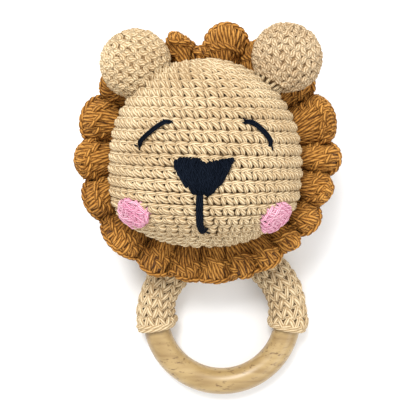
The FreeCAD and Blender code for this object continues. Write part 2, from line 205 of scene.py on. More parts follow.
beige_yarn = yarn_material(
    "beige cotton", (0.38, 0.245, 0.115), (0.53, 0.375, 0.205), (0.75, 0.61, 0.39), plies=5.0
)
# a darker copy of the beige yarn for the right ear: painted shade, for the lesser light that falls on it
shaded_beige_yarn = yarn_material(
    "dusky cotton", (0.32, 0.200, 0.098), (0.47, 0.325, 0.180), (0.69, 0.545, 0.350), plies=5.0
)
mustard_yarn = yarn_material(
    "mustard cotton", (0.11, 0.040, 0.006), (0.27, 0.108, 0.017), (0.58, 0.28, 0.060),
    plies=4.0, depth=0.00032,
)
black_yarn = yarn_material(
    "black thread", (0.0006, 0.0014, 0.0035), (0.0016, 0.0034, 0.0080), (0.007, 0.011, 0.020),
    depth=0.00015, sheen=0.0, gloss=0.05,
)
pink_yarn = yarn_material("pink thread", (0.56, 0.13, 0.25), (0.80, 0.34, 0.47), (0.93, 0.62, 0.69))
print("yarns", [m.name for m in (beige_yarn, shaded_beige_yarn, mustard_yarn, black_yarn, pink_yarn)])

# %% [markdown]
# The fabric seen down between the stitches lies in shade and has no ply pattern of its own, so it gets a
# plain fibrous material. Its deeper tone is painted shade.

# %% Ground fabric, wood and the hidden materials


def ground_material(name, dark, light):
    material = bpy.data.materials.new(name)
    material.use_nodes = True
    tree = material.node_tree
    shader = tree.nodes["Principled BSDF"]
    place = tree.nodes.new("ShaderNodeTexCoord").outputs["Object"]
    tuft = noise_node(tree, place, 700.0)
    tree.links.new(ramp_node(tree, tuft, [(0.3, dark), (0.7, light)]), shader.inputs["Base Color"])
    tree.links.new(bump_from(tree, tuft, 0.0004), shader.inputs["Normal"])
    shader.inputs["Roughness"].default_value = 0.95
    return material


# the beige and mustard grounds are darker than their yarns: painted shade between the stitches
beige_ground_painted_shade = ground_material("beige ground", (0.18, 0.105, 0.042), (0.36, 0.225, 0.105))
mustard_ground_painted_shade = ground_material("mustard ground", (0.045, 0.016, 0.003), (0.13, 0.048, 0.008))
fibre_fill = ground_material("fibre fill", (0.72, 0.72, 0.70), (0.93, 0.93, 0.91))


def wood_material():
    """Pale waxed beech: straight grain, a slow change of tone, and short brown flecks along the grain."""
    material = bpy.data.materials.new("waxed beech")
    material.use_nodes = True
    tree = material.node_tree
    shader = tree.nodes["Principled BSDF"]
    place = tree.nodes.new("ShaderNodeTexCoord").outputs["Object"]

    def along_grain(stretch):
        node = tree.nodes.new("ShaderNodeMapping")
        node.inputs["Rotation"].default_value = (0.0, 0.0, math.radians(-24.0))
        node.inputs["Scale"].default_value = (stretch, 1.0, 1.0)
        tree.links.new(place, node.inputs["Vector"])
        return node.outputs[0]

    grain = noise_node(tree, along_grain(0.10), 420.0, 4.0, 0.4)
    cloud = noise_node(tree, place, 55.0, 2.0)
    fleck = noise_node(tree, along_grain(0.42), 1050.0, 2.0)
    base = math_node(
        tree, "ADD", math_node(tree, "MULTIPLY", grain, 0.45), math_node(tree, "MULTIPLY", cloud, 0.55)
    )
    tones = [(0.32, (0.22, 0.130, 0.046)), (0.52, (0.39, 0.265, 0.110)), (0.70, (0.51, 0.365, 0.170))]
    pale = ramp_node(tree, base, tones)
    crowd = math_node(tree, "MULTIPLY", cloud, 0.55)
    above = math_node(tree, "SUBTRACT", math_node(tree, "ADD", fleck, crowd), 0.88)
    mark = tree.nodes.new("ShaderNodeClamp")
    tree.links.new(math_node(tree, "MULTIPLY", above, 8.0), mark.inputs[0])
    mix = tree.nodes.new("ShaderNodeMix")
    mix.data_type = "RGBA"
    tree.links.new(math_node(tree, "MULTIPLY", mark.outputs[0], 0.72), mix.inputs["Factor"])
    tree.links.new(pale, mix.inputs["A"])
    mix.inputs["B"].default_value = (0.11, 0.055, 0.020, 1.0)
    tree.links.new(mix.outputs["Result"], shader.inputs["Base Color"])
    tree.links.new(bump_from(tree, grain, 0.00008), shader.inputs["Normal"])
    shader.inputs["Roughness"].default_value = 0.38
    shader.inputs["Coat Weight"].default_value = 0.18
    shader.inputs["Coat Roughness"].default_value = 0.25
    return material


def plastic_material(name, colour, deep):
    """Moulded plastic with faint flow marks."""
    material = bpy.data.materials.new(name)
    material.use_nodes = True
    tree = material.node_tree
    shader = tree.nodes["Principled BSDF"]
    place = tree.nodes.new("ShaderNodeTexCoord").outputs["Object"]
    flow = noise_node(tree, place, 160.0, 2.0, 0.6)
    tree.links.new(ramp_node(tree, flow, [(0.3, deep), (0.7, colour)]), shader.inputs["Base Color"])
    tree.links.new(bump_from(tree, flow, 0.00005, 0.3), shader.inputs["Normal"])
    shader.inputs["Roughness"].default_value = 0.28
    return material


waxed_beech = wood_material()
capsule_plastic = plastic_material("capsule plastic", (0.80, 0.82, 0.84), (0.70, 0.72, 0.75))
pellet_plastic = plastic_material("pellet plastic", (0.62, 0.05, 0.04), (0.45, 0.03, 0.03))
print("materials", len(bpy.data.materials))

# %% [markdown]
# ## Two Geometry Nodes trees
# Everything crocheted is yarn along a path. The first tree takes guide lines and turns them into round
# strands: the guide becomes a curve, a circle is swept along it, and the length and the turn round the
# strand are kept as the UV map that the yarn materials read. Doing this in nodes keeps the Python short,
# because the script only has to say where the yarn goes.

# %% The strand tree


def add_node(tree, kind, **settings):
    node = tree.nodes.new(kind)
    for key, value in settings.items():
        setattr(node, key, value)
    return node


def link(tree, source, target):
    tree.links.new(source, target)


def make_strand_tree():
    tree = bpy.data.node_groups.new("strands from guides", "GeometryNodeTree")
    face = tree.interface
    face.new_socket("Guides", in_out="INPUT", socket_type="NodeSocketGeometry")
    sides = face.new_socket("Sides", in_out="INPUT", socket_type="NodeSocketInt")
    sides.default_value = 6
    face.new_socket("Yarn", in_out="INPUT", socket_type="NodeSocketMaterial")
    face.new_socket("Strands", in_out="OUTPUT", socket_type="NodeSocketGeometry")
    start, end = tree.nodes.new("NodeGroupInput"), tree.nodes.new("NodeGroupOutput")

    curve = add_node(tree, "GeometryNodeMeshToCurve")
    link(tree, start.outputs["Guides"], curve.inputs[0])
    thick = add_node(tree, "GeometryNodeInputNamedAttribute", data_type="FLOAT")
    thick.inputs["Name"].default_value = "thick"
    keep_along = add_node(tree, "GeometryNodeStoreNamedAttribute", data_type="FLOAT", domain="POINT")
    keep_along.inputs["Name"].default_value = "along"
    link(tree, curve.outputs[0], keep_along.inputs["Geometry"])
    link(tree, add_node(tree, "GeometryNodeSplineParameter").outputs["Length"], keep_along.inputs["Value"])

    circle = add_node(tree, "GeometryNodeCurvePrimitiveCircle", mode="RADIUS")
    link(tree, start.outputs["Sides"], circle.inputs["Resolution"])
    circle.inputs["Radius"].default_value = 1.0
    keep_round = add_node(tree, "GeometryNodeStoreNamedAttribute", data_type="FLOAT", domain="POINT")
    keep_round.inputs["Name"].default_value = "round"
    link(tree, circle.outputs[0], keep_round.inputs["Geometry"])
    link(tree, add_node(tree, "GeometryNodeSplineParameter").outputs["Factor"], keep_round.inputs["Value"])

    sweep = add_node(tree, "GeometryNodeCurveToMesh")
    sweep.inputs["Fill Caps"].default_value = True
    link(tree, keep_along.outputs[0], sweep.inputs["Curve"])
    link(tree, keep_round.outputs[0], sweep.inputs["Profile Curve"])
    link(tree, thick.outputs[0], sweep.inputs["Scale"])

    # the last strip of each strand runs from nearly 1 to 0, so its corners at 0 are put at 1
    rounds = add_node(tree, "GeometryNodeInputNamedAttribute", data_type="FLOAT")
    rounds.inputs["Name"].default_value = "round"
    lengths = add_node(tree, "GeometryNodeInputNamedAttribute", data_type="FLOAT")
    lengths.inputs["Name"].default_value = "along"
    middle = add_node(tree, "GeometryNodeFieldOnDomain", data_type="FLOAT", domain="FACE")
    link(tree, rounds.outputs[0], middle.inputs[0])

    at_zero = math_node(tree, "LESS_THAN", rounds.outputs[0], 0.01)
    last_strip = math_node(tree, "GREATER_THAN", middle.outputs[0], 0.3)
    closed = math_node(tree, "ADD", rounds.outputs[0], math_node(tree, "MULTIPLY", at_zero, last_strip))
    pair = add_node(tree, "ShaderNodeCombineXYZ")
    link(tree, lengths.outputs[0], pair.inputs[0])
    link(tree, closed, pair.inputs[1])
    keep_uv = add_node(tree, "GeometryNodeStoreNamedAttribute", data_type="FLOAT2", domain="CORNER")
    keep_uv.inputs["Name"].default_value = "UVMap"
    link(tree, sweep.outputs[0], keep_uv.inputs["Geometry"])
    link(tree, pair.outputs[0], keep_uv.inputs["Value"])

    smooth = add_node(tree, "GeometryNodeSetShadeSmooth")
    link(tree, keep_uv.outputs[0], smooth.inputs["Geometry"])
    whole = add_node(tree, "GeometryNodeRealizeInstances")
    link(tree, smooth.outputs[0], whole.inputs[0])
    colour = add_node(tree, "GeometryNodeSetMaterial")
    link(tree, whole.outputs[0], colour.inputs["Geometry"])
    link(tree, start.outputs["Yarn"], colour.inputs["Material"])
    link(tree, colour.outputs[0], end.inputs[0])
    return tree


strand_tree = make_strand_tree()

# %% [markdown]
# A modifier's inputs are set by their identifiers before the object is first evaluated. The evaluated result
# is then copied to a plain mesh, so nothing procedural is left on the piece.

# %% Running a tree


def run_tree(obj, tree, **values):
    """Puts the tree on the object, sets its inputs, and keeps only the mesh that comes out."""
    modifier = obj.modifiers.new("nodes", "NODES")
    modifier.node_group = tree
    for item in tree.interface.items_tree:
        key = item.name.lower().replace(" ", "_")
        if item.item_type == "SOCKET" and item.in_out == "INPUT" and key in values:
            modifier[item.identifier] = values[key]
    bpy.context.view_layer.update()
    evaluated = obj.evaluated_get(bpy.context.evaluated_depsgraph_get())
    mesh = bpy.data.meshes.new_from_object(evaluated)
    mesh.name = obj.name
    obj.modifiers.clear()
    obj.data = mesh
    return obj


def new_object(name, verts, edges=(), faces=()):
    """An object at the origin from points in millimetres."""
    mesh = bpy.data.meshes.new(name)
    mesh.from_pydata([tuple(p) for p in np.asarray(verts, float) * MM], edges, faces)
    mesh.update()
    obj = bpy.data.objects.new(name, mesh)
    bpy.context.scene.collection.objects.link(obj)
    return obj


def smooth_path(points, count):
    """Points evenly spread along a Catmull-Rom curve through the given ones."""
    p = np.asarray(points, float)
    p = np.vstack([2 * p[0] - p[1], p, 2 * p[-1] - p[-2]])
    t = np.linspace(0, len(p) - 3 - 1e-9, count)
    i = t.astype(int)
    f = (t - i)[:, None]
    a, b, c, d = p[i], p[i + 1], p[i + 2], p[i + 3]
    return 0.5 * (2 * b + (c - a) * f + (2 * a - 5 * b + 4 * c - d) * f**2 + (3 * b - a - 3 * c + d) * f**3)


def rounded(count, radius, ends=0.45):
    """Thicknesses along a strand whose two ends taper like a pill."""
    t = np.linspace(0, 1, count)
    edge = np.minimum(t, 1 - t) * 2
    return radius * (ends + (1 - ends) * np.minimum(1, edge * 2.2) ** 0.5)


def strands(name, paths, thick, material, sides=6):
    """One mesh of round strands. thick is a number, or a list with an array for each path."""
    verts, edges, sizes = [], [], []
    for number, path in enumerate(paths):
        base = len(verts)
        verts.extend(path)
        edges.extend((base + k, base + k + 1) for k in range(len(path) - 1))
        sizes.extend(thick[number] if isinstance(thick, list) else rounded(len(path), thick))
    obj = new_object(name, verts, edges)
    layer = obj.data.attributes.new("thick", "FLOAT", "POINT")
    layer.data.foreach_set("value", np.array(sizes, np.float32) * MM)
    return run_tree(obj, strand_tree, sides=sides, yarn=material)


# %% [markdown]
# A single crochet stitch, seen from its right side, shows a short upright leg, a longer leg that slants
# across to the next stitch, and a rounded top edge that the next row is worked into. Each kind of stitch is
# made once and then repeated. The head's and the sleeve's have three strands. On the ears and the sleeve the
# two legs stand like an inverted V, and on the ears they are so plump that no third strand would show.

# %% The three stitches
STRAND_STEPS = 5


def make_stitch(name, size, legs):
    """A stitch with its face towards +Z, from (points, radius) legs, and the size it is drawn at."""
    paths = [smooth_path(points, STRAND_STEPS) for points, _ in legs]
    thick = [rounded(STRAND_STEPS, radius, 0.6) for _, radius in legs]
    return strands(name, paths, thick, beige_yarn, 6), size


UPRIGHT_LEGS = [
    ([(-0.95, 0.10, -0.85), (-1.15, 0.80, 0.55), (-1.50, 1.70, 1.00), (-1.85, 2.60, 0.40)], 0.86),
    ([(1.60, 0.20, -0.85), (1.20, 0.95, 0.65), (0.40, 1.95, 1.20), (-0.60, 3.05, 0.55)], 0.96),
    ([(-2.40, 3.05, -0.35), (-1.15, 3.45, 0.55), (0.90, 3.30, 0.60), (2.35, 2.80, -0.35)], 0.80),
]
TENT_LEGS = [
    ([(-1.80, 0.15, -0.40), (-1.50, 0.90, 0.70), (-0.90, 1.80, 0.85), (-0.05, 2.65, 0.10)], 1.06),
    ([(1.80, 0.00, -0.40), (1.55, 0.80, 0.70), (1.05, 1.65, 0.85), (0.30, 2.50, 0.10)], 1.06),
    ([(-2.10, 2.75, -0.60), (-0.70, 2.95, 0.05), (0.70, 2.95, 0.05), (2.10, 2.75, -0.60)], 0.62),
]
PLUMP_LEGS = [
    ([(-1.70, 0.10, -0.45), (-1.40, 0.95, 0.30), (-0.90, 1.85, 0.40), (-0.40, 2.70, -0.30)], 1.30),
    ([(1.75, 0.00, -0.45), (1.50, 0.85, 0.30), (1.05, 1.75, 0.40), (0.60, 2.60, -0.30)], 1.30),
]
upright_stitch = make_stitch("upright_stitch", HEAD_STITCH, UPRIGHT_LEGS)
tent_stitch = make_stitch("tent_stitch", EAR_STITCH, TENT_LEGS)
plump_stitch = make_stitch("plump_stitch", EAR_STITCH, PLUMP_LEGS)
print("faces in one stitch", len(upright_stitch[0].data.polygons))

# %% [markdown]
# The second tree sets a stitch on every point of a guide mesh. Each point carries the turn that lays the
# stitch on the fabric and its size there. A seeded random turn and size keep it from looking machine made.

# %% The stitch tree


def make_stitch_tree():
    tree = bpy.data.node_groups.new("stitches on points", "GeometryNodeTree")
    face = tree.interface
    face.new_socket("Points", in_out="INPUT", socket_type="NodeSocketGeometry")
    face.new_socket("Stitch", in_out="INPUT", socket_type="NodeSocketObject")
    face.new_socket("Wander", in_out="INPUT", socket_type="NodeSocketFloat")
    face.new_socket("Seed", in_out="INPUT", socket_type="NodeSocketInt")
    face.new_socket("Yarn", in_out="INPUT", socket_type="NodeSocketMaterial")
    face.new_socket("Stitches", in_out="OUTPUT", socket_type="NodeSocketGeometry")
    start, end = tree.nodes.new("NodeGroupInput"), tree.nodes.new("NodeGroupOutput")

    def named(name):
        node = add_node(tree, "GeometryNodeInputNamedAttribute", data_type="FLOAT_VECTOR")
        node.inputs["Name"].default_value = name
        return node.outputs[0]

    def random_vector(low, high, offset):
        node = add_node(tree, "FunctionNodeRandomValue", data_type="FLOAT_VECTOR")
        node.inputs[0].default_value, node.inputs[1].default_value = (low,) * 3, (high,) * 3
        link(tree, math_node(tree, "ADD", start.outputs["Seed"], offset), node.inputs["Seed"])
        scaled = add_node(tree, "ShaderNodeVectorMath", operation="SCALE")
        link(tree, node.outputs[0], scaled.inputs[0])
        link(tree, start.outputs["Wander"], scaled.inputs["Scale"])
        return scaled.outputs[0]

    lay = add_node(tree, "FunctionNodeEulerToRotation")
    link(tree, named("turn"), lay.inputs[0])
    nudge = add_node(tree, "FunctionNodeEulerToRotation")
    link(tree, random_vector(-1.0, 1.0, 0), nudge.inputs[0])
    turned = add_node(tree, "FunctionNodeRotateRotation", rotation_space="LOCAL")
    link(tree, lay.outputs[0], turned.inputs[0])
    link(tree, nudge.outputs[0], turned.inputs[1])
    grow = add_node(tree, "ShaderNodeVectorMath", operation="ADD")
    link(tree, named("size"), grow.inputs[0])
    link(tree, random_vector(-0.6, 0.6, 11), grow.inputs[1])

    source = add_node(tree, "GeometryNodeObjectInfo")
    source.inputs["As Instance"].default_value = True
    link(tree, start.outputs["Stitch"], source.inputs["Object"])
    lay_all = add_node(tree, "GeometryNodeInstanceOnPoints")
    link(tree, start.outputs["Points"], lay_all.inputs["Points"])
    link(tree, source.outputs["Geometry"], lay_all.inputs["Instance"])
    link(tree, turned.outputs[0], lay_all.inputs["Rotation"])
    link(tree, grow.outputs[0], lay_all.inputs["Scale"])
    whole = add_node(tree, "GeometryNodeRealizeInstances")
    link(tree, lay_all.outputs[0], whole.inputs[0])
    colour = add_node(tree, "GeometryNodeSetMaterial")
    link(tree, whole.outputs[0], colour.inputs["Geometry"])
    link(tree, start.outputs["Yarn"], colour.inputs["Material"])
    link(tree, colour.outputs[0], end.inputs[0])
    return tree


stitch_tree = make_stitch_tree()


def lay_stitches(name, places, stitch, yarn, wander=0.07, seed=1):
    """A mesh of stitches from (point, right, up, out, width, height, depth) places, in millimetres."""
    source, drawn = stitch
    obj = new_object(name, [p[0] for p in places])
    turns = []
    for _, right, up, out, *_ in places:
        turns.append(Matrix((right, up, out)).transposed().to_euler())
    sizes = [(p[4] / drawn[0], p[5] / drawn[1], p[6]) for p in places]
    for label, values in (("turn", turns), ("size", sizes)):
        layer = obj.data.attributes.new(label, "FLOAT_VECTOR", "POINT")
        layer.data.foreach_set("vector", np.array([tuple(v) for v in values], np.float32).ravel())
    return run_tree(obj, stitch_tree, stitch=source, wander=wander, seed=seed, yarn=yarn)


def surface_places(surface, rows, depth=1.0):
    """Places on a surface(s, angle) for rows of (s, angle, width, height), with stitches of one depth."""
    places = []
    step = 0.01
    for s, angle, width, height in rows:
        point = surface(s, angle)
        up = surface(s + step, angle) - surface(s - step, angle)
        right = surface(s, angle - step * 0.05) - surface(s, angle + step * 0.05)
        out = unit(np.cross(right, up))
        right = unit(right)
        up = np.cross(out, right)
        for k in range(len(point)):
            places.append((point[k], right[k], up[k], out[k], width[k], height, depth))
    return places


def join_meshes(name, objs):
    """One object from several, under the first one's origin."""
    with bpy.context.temp_override(active_object=objs[0], selected_editable_objects=objs):
        bpy.ops.object.join()
    objs[0].name = objs[0].data.name = name
    return objs[0]


def turned_grid(first, last, rows, columns):
    """Two grids: a length from first to last down the rows, and a full turn along the columns."""
    turn = np.linspace(0, 2 * math.pi, columns + 1)[:-1]
    return np.meshgrid(np.linspace(first, last, rows), turn, indexing="ij")


def grid_mesh(name, points, material, wrap_first=False, wrap_second=False):
    """A smooth skin over a (rows, columns, 3) array of points, closed at its poles or round its ends."""
    rows, columns = points.shape[:2]
    index = np.arange(rows * columns).reshape(rows, columns)
    faces = []
    for i in range(rows if wrap_first else rows - 1):
        for j in range(columns if wrap_second else columns - 1):
            k, m = (i + 1) % rows, (j + 1) % columns
            faces.append((index[i, j], index[i, m], index[k, m], index[k, j]))
    obj = new_object(name, points.reshape(-1, 3), (), [tuple(int(v) for v in f) for f in faces])
    obj.data.materials.append(material)
    tidy_skin(obj)
    return obj


def tidy_skin(obj):
    """Merges doubles, turns the faces outwards and shades smooth."""
    work = bmesh.new()
    work.from_mesh(obj.data)
    bmesh.ops.remove_doubles(work, verts=work.verts, dist=1e-6)
    bmesh.ops.dissolve_degenerate(work, edges=work.edges, dist=1e-7)
    bmesh.ops.recalc_face_normals(work, faces=work.faces)
    work.to_mesh(obj.data)
    work.free()
    obj.data.polygons.foreach_set("use_smooth", [True] * len(obj.data.polygons))


def finish_piece(obj, body, slot, *nodes):
    """Ties a finished piece to its body and hides the CAD nodes it stands for. The slot is not used."""
    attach(obj, body)
    if nodes:
        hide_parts(*nodes)
    triangles = sum(len(p.vertices) - 2 for p in obj.data.polygons)
    print(obj.name, "triangles", triangles)
    return obj


# %% [markdown]
# ## Head
# The head is a stuffed form of revolution, outlined by four arcs that run into each other, on an axis that
# leans a little forward. It is crocheted in one spiral: each round has a whole number of stitches, and the
# spiral climbs by one round in each turn. The stuffing presses the fabric round, and the toy's own weight
# presses the back flat where it lies.

# %% The head's form


def arc_points(centre, radius, first, last, count=60):
    """Points of the arc about centre that runs anticlockwise from the direction of first to that of last."""
    a, b = (math.atan2(*(p - centre)[::-1]) for p in (first, last))
    t = np.linspace(a, b, count)
    return centre + radius * np.stack([np.cos(t), np.sin(t)], 1)


def head_profile():
    """(radius, height) along the head's outline from its foot to its top."""
    side_c = np.array([HEAD_R - SIDE_ARC, 0.0])
    top_y = (side_c[0] ** 2 - (SIDE_ARC - HEAD_TOP) ** 2) / (2 * (SIDE_ARC - HEAD_TOP))
    top_c, foot_c = np.array([0.0, top_y]), np.array([0.0, FOOT_ARC - HEAD_FOOT])
    base = foot_c - side_c
    length = np.linalg.norm(base)
    reach, other = SIDE_ARC - CORNER_ARC, FOOT_ARC - CORNER_ARC
    along = (reach**2 - other**2 + length**2) / (2 * length)
    across = math.sqrt(reach**2 - along**2)
    way = base / length
    corner_c = side_c + way * along + np.array([way[1], -way[0]]) * across

    def meet(outer, inner, radius):
        return outer + unit(inner - outer) * radius

    side_top = meet(side_c, top_c, SIDE_ARC)
    side_low, foot_side = meet(side_c, corner_c, SIDE_ARC), meet(foot_c, corner_c, FOOT_ARC)
    foot, top = np.array([0.0, -HEAD_FOOT]), np.array([0.0, HEAD_TOP])
    parts = [
        arc_points(foot_c, FOOT_ARC, foot, foot_side),
        arc_points(corner_c, CORNER_ARC, foot_side, side_low),
        arc_points(side_c, SIDE_ARC, side_low, side_top),
        arc_points(top_c, HEAD_TOP - top_y, side_top, top),
    ]
    return np.vstack([parts[0]] + [p[1:] for p in parts[1:]])


# %% The head's outline in millimetres
profile = head_profile()
profile_s = np.concatenate([[0], np.cumsum(np.linalg.norm(np.diff(profile, axis=0), axis=1))])
tangent = unit(np.gradient(profile, axis=0))
profile_n = np.stack([tangent[:, 1], -tangent[:, 0]], 1)
HEAD_LENGTH = profile_s[-1]
print("head outline", round(HEAD_LENGTH, 1), "mm")

# %% [markdown]
# A point of the fabric is found from its length along the outline and its angle round the axis. Slight lumps
# raise or lower it, and a soft floor keeps it above the table.

# %% The head's surface


def tilt_head(x, y, z):
    """From the head's own axes to the toy's."""
    c, s = math.cos(HEAD_TILT), math.sin(HEAD_TILT)
    return np.stack([x, y * c - z * s, y * s + z * c + HEAD_Z], -1)


# each lump is (height, waves round the head, climb for each millimetre, phase)
LUMPS = [(0.28, 2, 0.09, 0.0), (0.22, 3, -0.11, 1.3), (0.15, 0, 0.21, 0.0)]
TABLE_GAP, TABLE_SOFTNESS = 0.35, 0.7


def head_lumps(s, angle):
    """The slight unevenness of a hand-stuffed head."""
    return sum(size * np.sin(waves * angle + climb * s + phase) for size, waves, climb, phase in LUMPS)


def on_head(s, angle, lift=-KNIT_DEPTH):
    """The point at an outline length and an angle round the head, raised by lift and pressed by the table."""
    s, angle = np.broadcast_arrays(np.asarray(s, float), np.asarray(angle, float))
    inside = np.clip(s, 0, HEAD_LENGTH)
    raise_by = lift + head_lumps(s, angle) * np.sin(math.pi * inside / HEAD_LENGTH)
    r = np.interp(inside, profile_s, profile[:, 0]) + raise_by * np.interp(inside, profile_s, profile_n[:, 0])
    y = np.interp(inside, profile_s, profile[:, 1]) + raise_by * np.interp(inside, profile_s, profile_n[:, 1])
    p = tilt_head(r * np.cos(angle), y, r * np.sin(angle))
    low = TABLE_GAP - lift
    p[..., 2] = low + TABLE_SOFTNESS * np.logaddexp(0, (p[..., 2] - low) / TABLE_SOFTNESS)
    return p


print("foot of the head", np.round(on_head(0.0, 0.0), 1), "mm")

# %% [markdown]
# In a spiral no round closes on itself. Each stitch sits a little further along the outline than the one
# before it, so that the last of a round meets the first of the next, and the rounds drift as they climb.

# %% The rounds of a spiral


def spiral_rows(length, stitch_size, radius_at, seam, lean=0.44, skip=1.2):
    """Rounds of a spiral, as (s, angle, width, height) for surface_places."""
    count = int(round((length - 2 * skip) / stitch_size[1]))
    pitch = (length - 2 * skip) / count
    rows, turned = [], 0.0
    for i in range(count):
        around = 2 * math.pi * radius_at(skip + (i + 0.5) * pitch)
        number = max(5, int(round(around / stitch_size[0])))
        f = np.arange(number) / number
        s = skip + (i + f - 0.25) * pitch
        angle = seam + 2 * math.pi * (turned + f * (1 + lean / number))
        turned += lean / number
        width = 2 * math.pi * np.maximum(radius_at(s), 1.8) / number
        rows.append((np.maximum(s, 0.5), angle, width, pitch))
    return rows


# %% Crochet the head
BACK_SEAM = -math.pi / 2
GROUND_SINK = 0.9


def head_radius(s):
    return np.interp(s, profile_s, profile[:, 0])


head_rows = spiral_rows(HEAD_LENGTH, HEAD_STITCH, head_radius, BACK_SEAM)
head_places = surface_places(on_head, head_rows)
head_stitches = lay_stitches("head_stitches", head_places, upright_stitch, beige_yarn, 0.06, 3)
s_grid, a_grid = turned_grid(0, HEAD_LENGTH, 70, 96)
ground_points = on_head(s_grid, a_grid, -KNIT_DEPTH - GROUND_SINK)
head_ground = grid_mesh("head_ground", ground_points, beige_ground_painted_shade, wrap_second=True)
head_knit = join_meshes("head_knit", [head_stitches, head_ground])
finish_piece(head_knit, "head", "beige_cotton", "head_cover")
print("head rounds", len(head_rows), "stitches", len(head_places))

# %% [markdown]
# ## Ears
# Each ear is a small stuffed cup, worked in rounds from its tip and sewn open end down on the head. It is
# nearly a ball, a little flatter from front to back, and narrower where it is gathered in at the seam.

# %% Crochet the ears
EAR_R, EAR_DEPTH, EAR_Z = 11.9, 10.0, 36.5
EAR_RELIEF, EAR_GROUND = 0.85, -0.6
# the ear narrows by this share past this bend, in radians from its tip
EAR_TAPER, TAPER_FROM = 0.16, 1.7
EARS = {"left": (-24.3, 36.3, 0.5), "right": (28.7, 38.4, 1.4)}
EAR_SWEEP = 0.82 * math.pi


def ear_surface(side):
    """A function from arc length and angle to a point of one ear."""
    x, y, twist = EARS[side]
    out = unit(np.array([x, y + 6.0, 4.0]))
    across = unit(np.cross(out, [0, 0, 1.0]))
    front = np.cross(across, out)
    centre = np.array([x, y, EAR_Z])

    def surface(s, angle, lift=-0.2):
        s, angle, lift = np.broadcast_arrays(*(np.asarray(v, float) for v in (s, angle, lift)))
        bend = np.clip(s / EAR_R, 0, math.pi)
        taper = 1 - EAR_TAPER * np.clip(bend - TAPER_FROM, 0, 1) ** 1.5
        ring = np.sin(bend) * taper
        reach = ((EAR_R + lift) * np.cos(bend))[..., None] * out
        wide = ((EAR_R + lift) * ring * np.cos(angle + twist))[..., None] * across
        deep = ((EAR_DEPTH + lift) * ring * np.sin(angle + twist))[..., None] * front
        return centre + reach + wide + deep

    return surface


def ear_radius(s):
    return np.sin(np.clip(np.asarray(s) / EAR_R, 0, math.pi)) * (EAR_R + EAR_DEPTH) / 2


def crochet_ear(side, yarn, seed):
    surface = ear_surface(side)
    length = EAR_R * EAR_SWEEP
    rows = spiral_rows(length, EAR_STITCH, ear_radius, 2.2, 0.5, 0.9)
    places = surface_places(surface, rows, EAR_RELIEF)
    knit = lay_stitches(side + "_ear_stitches", places, plump_stitch, yarn, 0.09, seed)
    s, a = turned_grid(0, EAR_R * math.pi, 40, 48)
    ground = grid_mesh(side + "_ear_ground", surface(s, a, EAR_GROUND), beige_ground_painted_shade, wrap_second=True)
    piece = join_meshes(side + "_ear_knit", [knit, ground])
    finish_piece(piece, "head", "beige_cotton", side + "_ear_cover")


crochet_ear("left", beige_yarn, 21)
# the right ear gets the darker copy of the beige yarn, as painted shade
crochet_ear("right", shaded_beige_yarn, 33)

# %% [markdown]
# ## Mane
# The mane is one strip of tall stitches, far longer than the edge it is sewn to, so it gathers into deep
# folds. Each lobe is a fold that stands up between two valleys. Some curl back at the free edge and others
# droop. The surface is written as a function of q, which counts lobes round the head, and t, which runs from
# the seam to the free edge. Every tall stitch is two yarns twisted together along a line of constant q, and
# a chain runs round the edge.

# %% The mane's lobes
# the angles of the valleys in degrees, then each lobe's height, reach and notch in millimetres, and its curl
RECESSES = [
    -148, -124, -109, -94, -80, -67, -53, -41, -26.6, -9.5, 4, 30, 49, 70.5, 90, 99, 112, 133, 152, 173, 193,
    212,
]
LOBE_HEIGHT = [
    5.6, 3.2, 2.0, 1.8, 1.9, 3.0, 5.6, 7.0, 7.2, 7.2, 7.2, 6.8, 6.4, 6.4, 2.4, 6.4, 6.4, 7.0, 7.2, 7.2, 7.2,
]
LOBE_TIP = [
    48.6, 48.6, 47.0, 47.2, 47.6, 47.6, 47.4, 47.6, 47.6, 48.0, 48.4, 47.0, 46.8, 47.4, 39.0, 45.6, 46.8,
    46.6, 47.4, 48.4, 47.8,
]
LOBE_NOTCH = [
    4.4, 2.0, 0.9, 0.7, 0.9, 2.0, 4.6, 5.4, 5.8, 4.8, 6.2, 5.4, 7.0, 8.0, 1.0, 6.0, 8.0, 5.6, 4.6, 5.4, 4.4,
]
LOBE_CURL = [
    0.6, 0.2, 0.6, 0.1, 0.7, 0.2, 0.8, 0.2, 0.9, 0.3, 1.0, 0.3, 0.9, 0.5, 0.0, 0.8, 0.9, 0.6, 0.2, 0.9, 0.3,
]
LOBES = len(LOBE_TIP)
MANE_Z = 25.8
# how far a fold closes on itself, and how much of the reach is the chain's own yarn
PINCH, CHAIN_BULK = 0.17, 1.6
print("mane lobes", LOBES)

# %% The mane's folds


def head_reach(angle, z):
    """How far the head's surface is from the mane's centre along an angle, at a height."""
    c, s = math.cos(HEAD_TILT), math.sin(HEAD_TILT)
    r = np.arange(18.0, 46.0, 0.1)[:, None]
    x = MANE_CENTRE[0] + r * np.cos(angle)
    y = MANE_CENTRE[1] + r * np.sin(angle)
    up = z - HEAD_Z
    along = y * c + up * s
    away = np.hypot(x, -y * s + up * c)
    limit = np.interp(along, profile[:, 1], profile[:, 0], left=0, right=0)
    return r[:, 0][np.argmax(away > limit, axis=0)]


REACH_ANGLES = np.radians(np.arange(-148, 213, 2.0))
REACH = head_reach(REACH_ANGLES, MANE_Z)


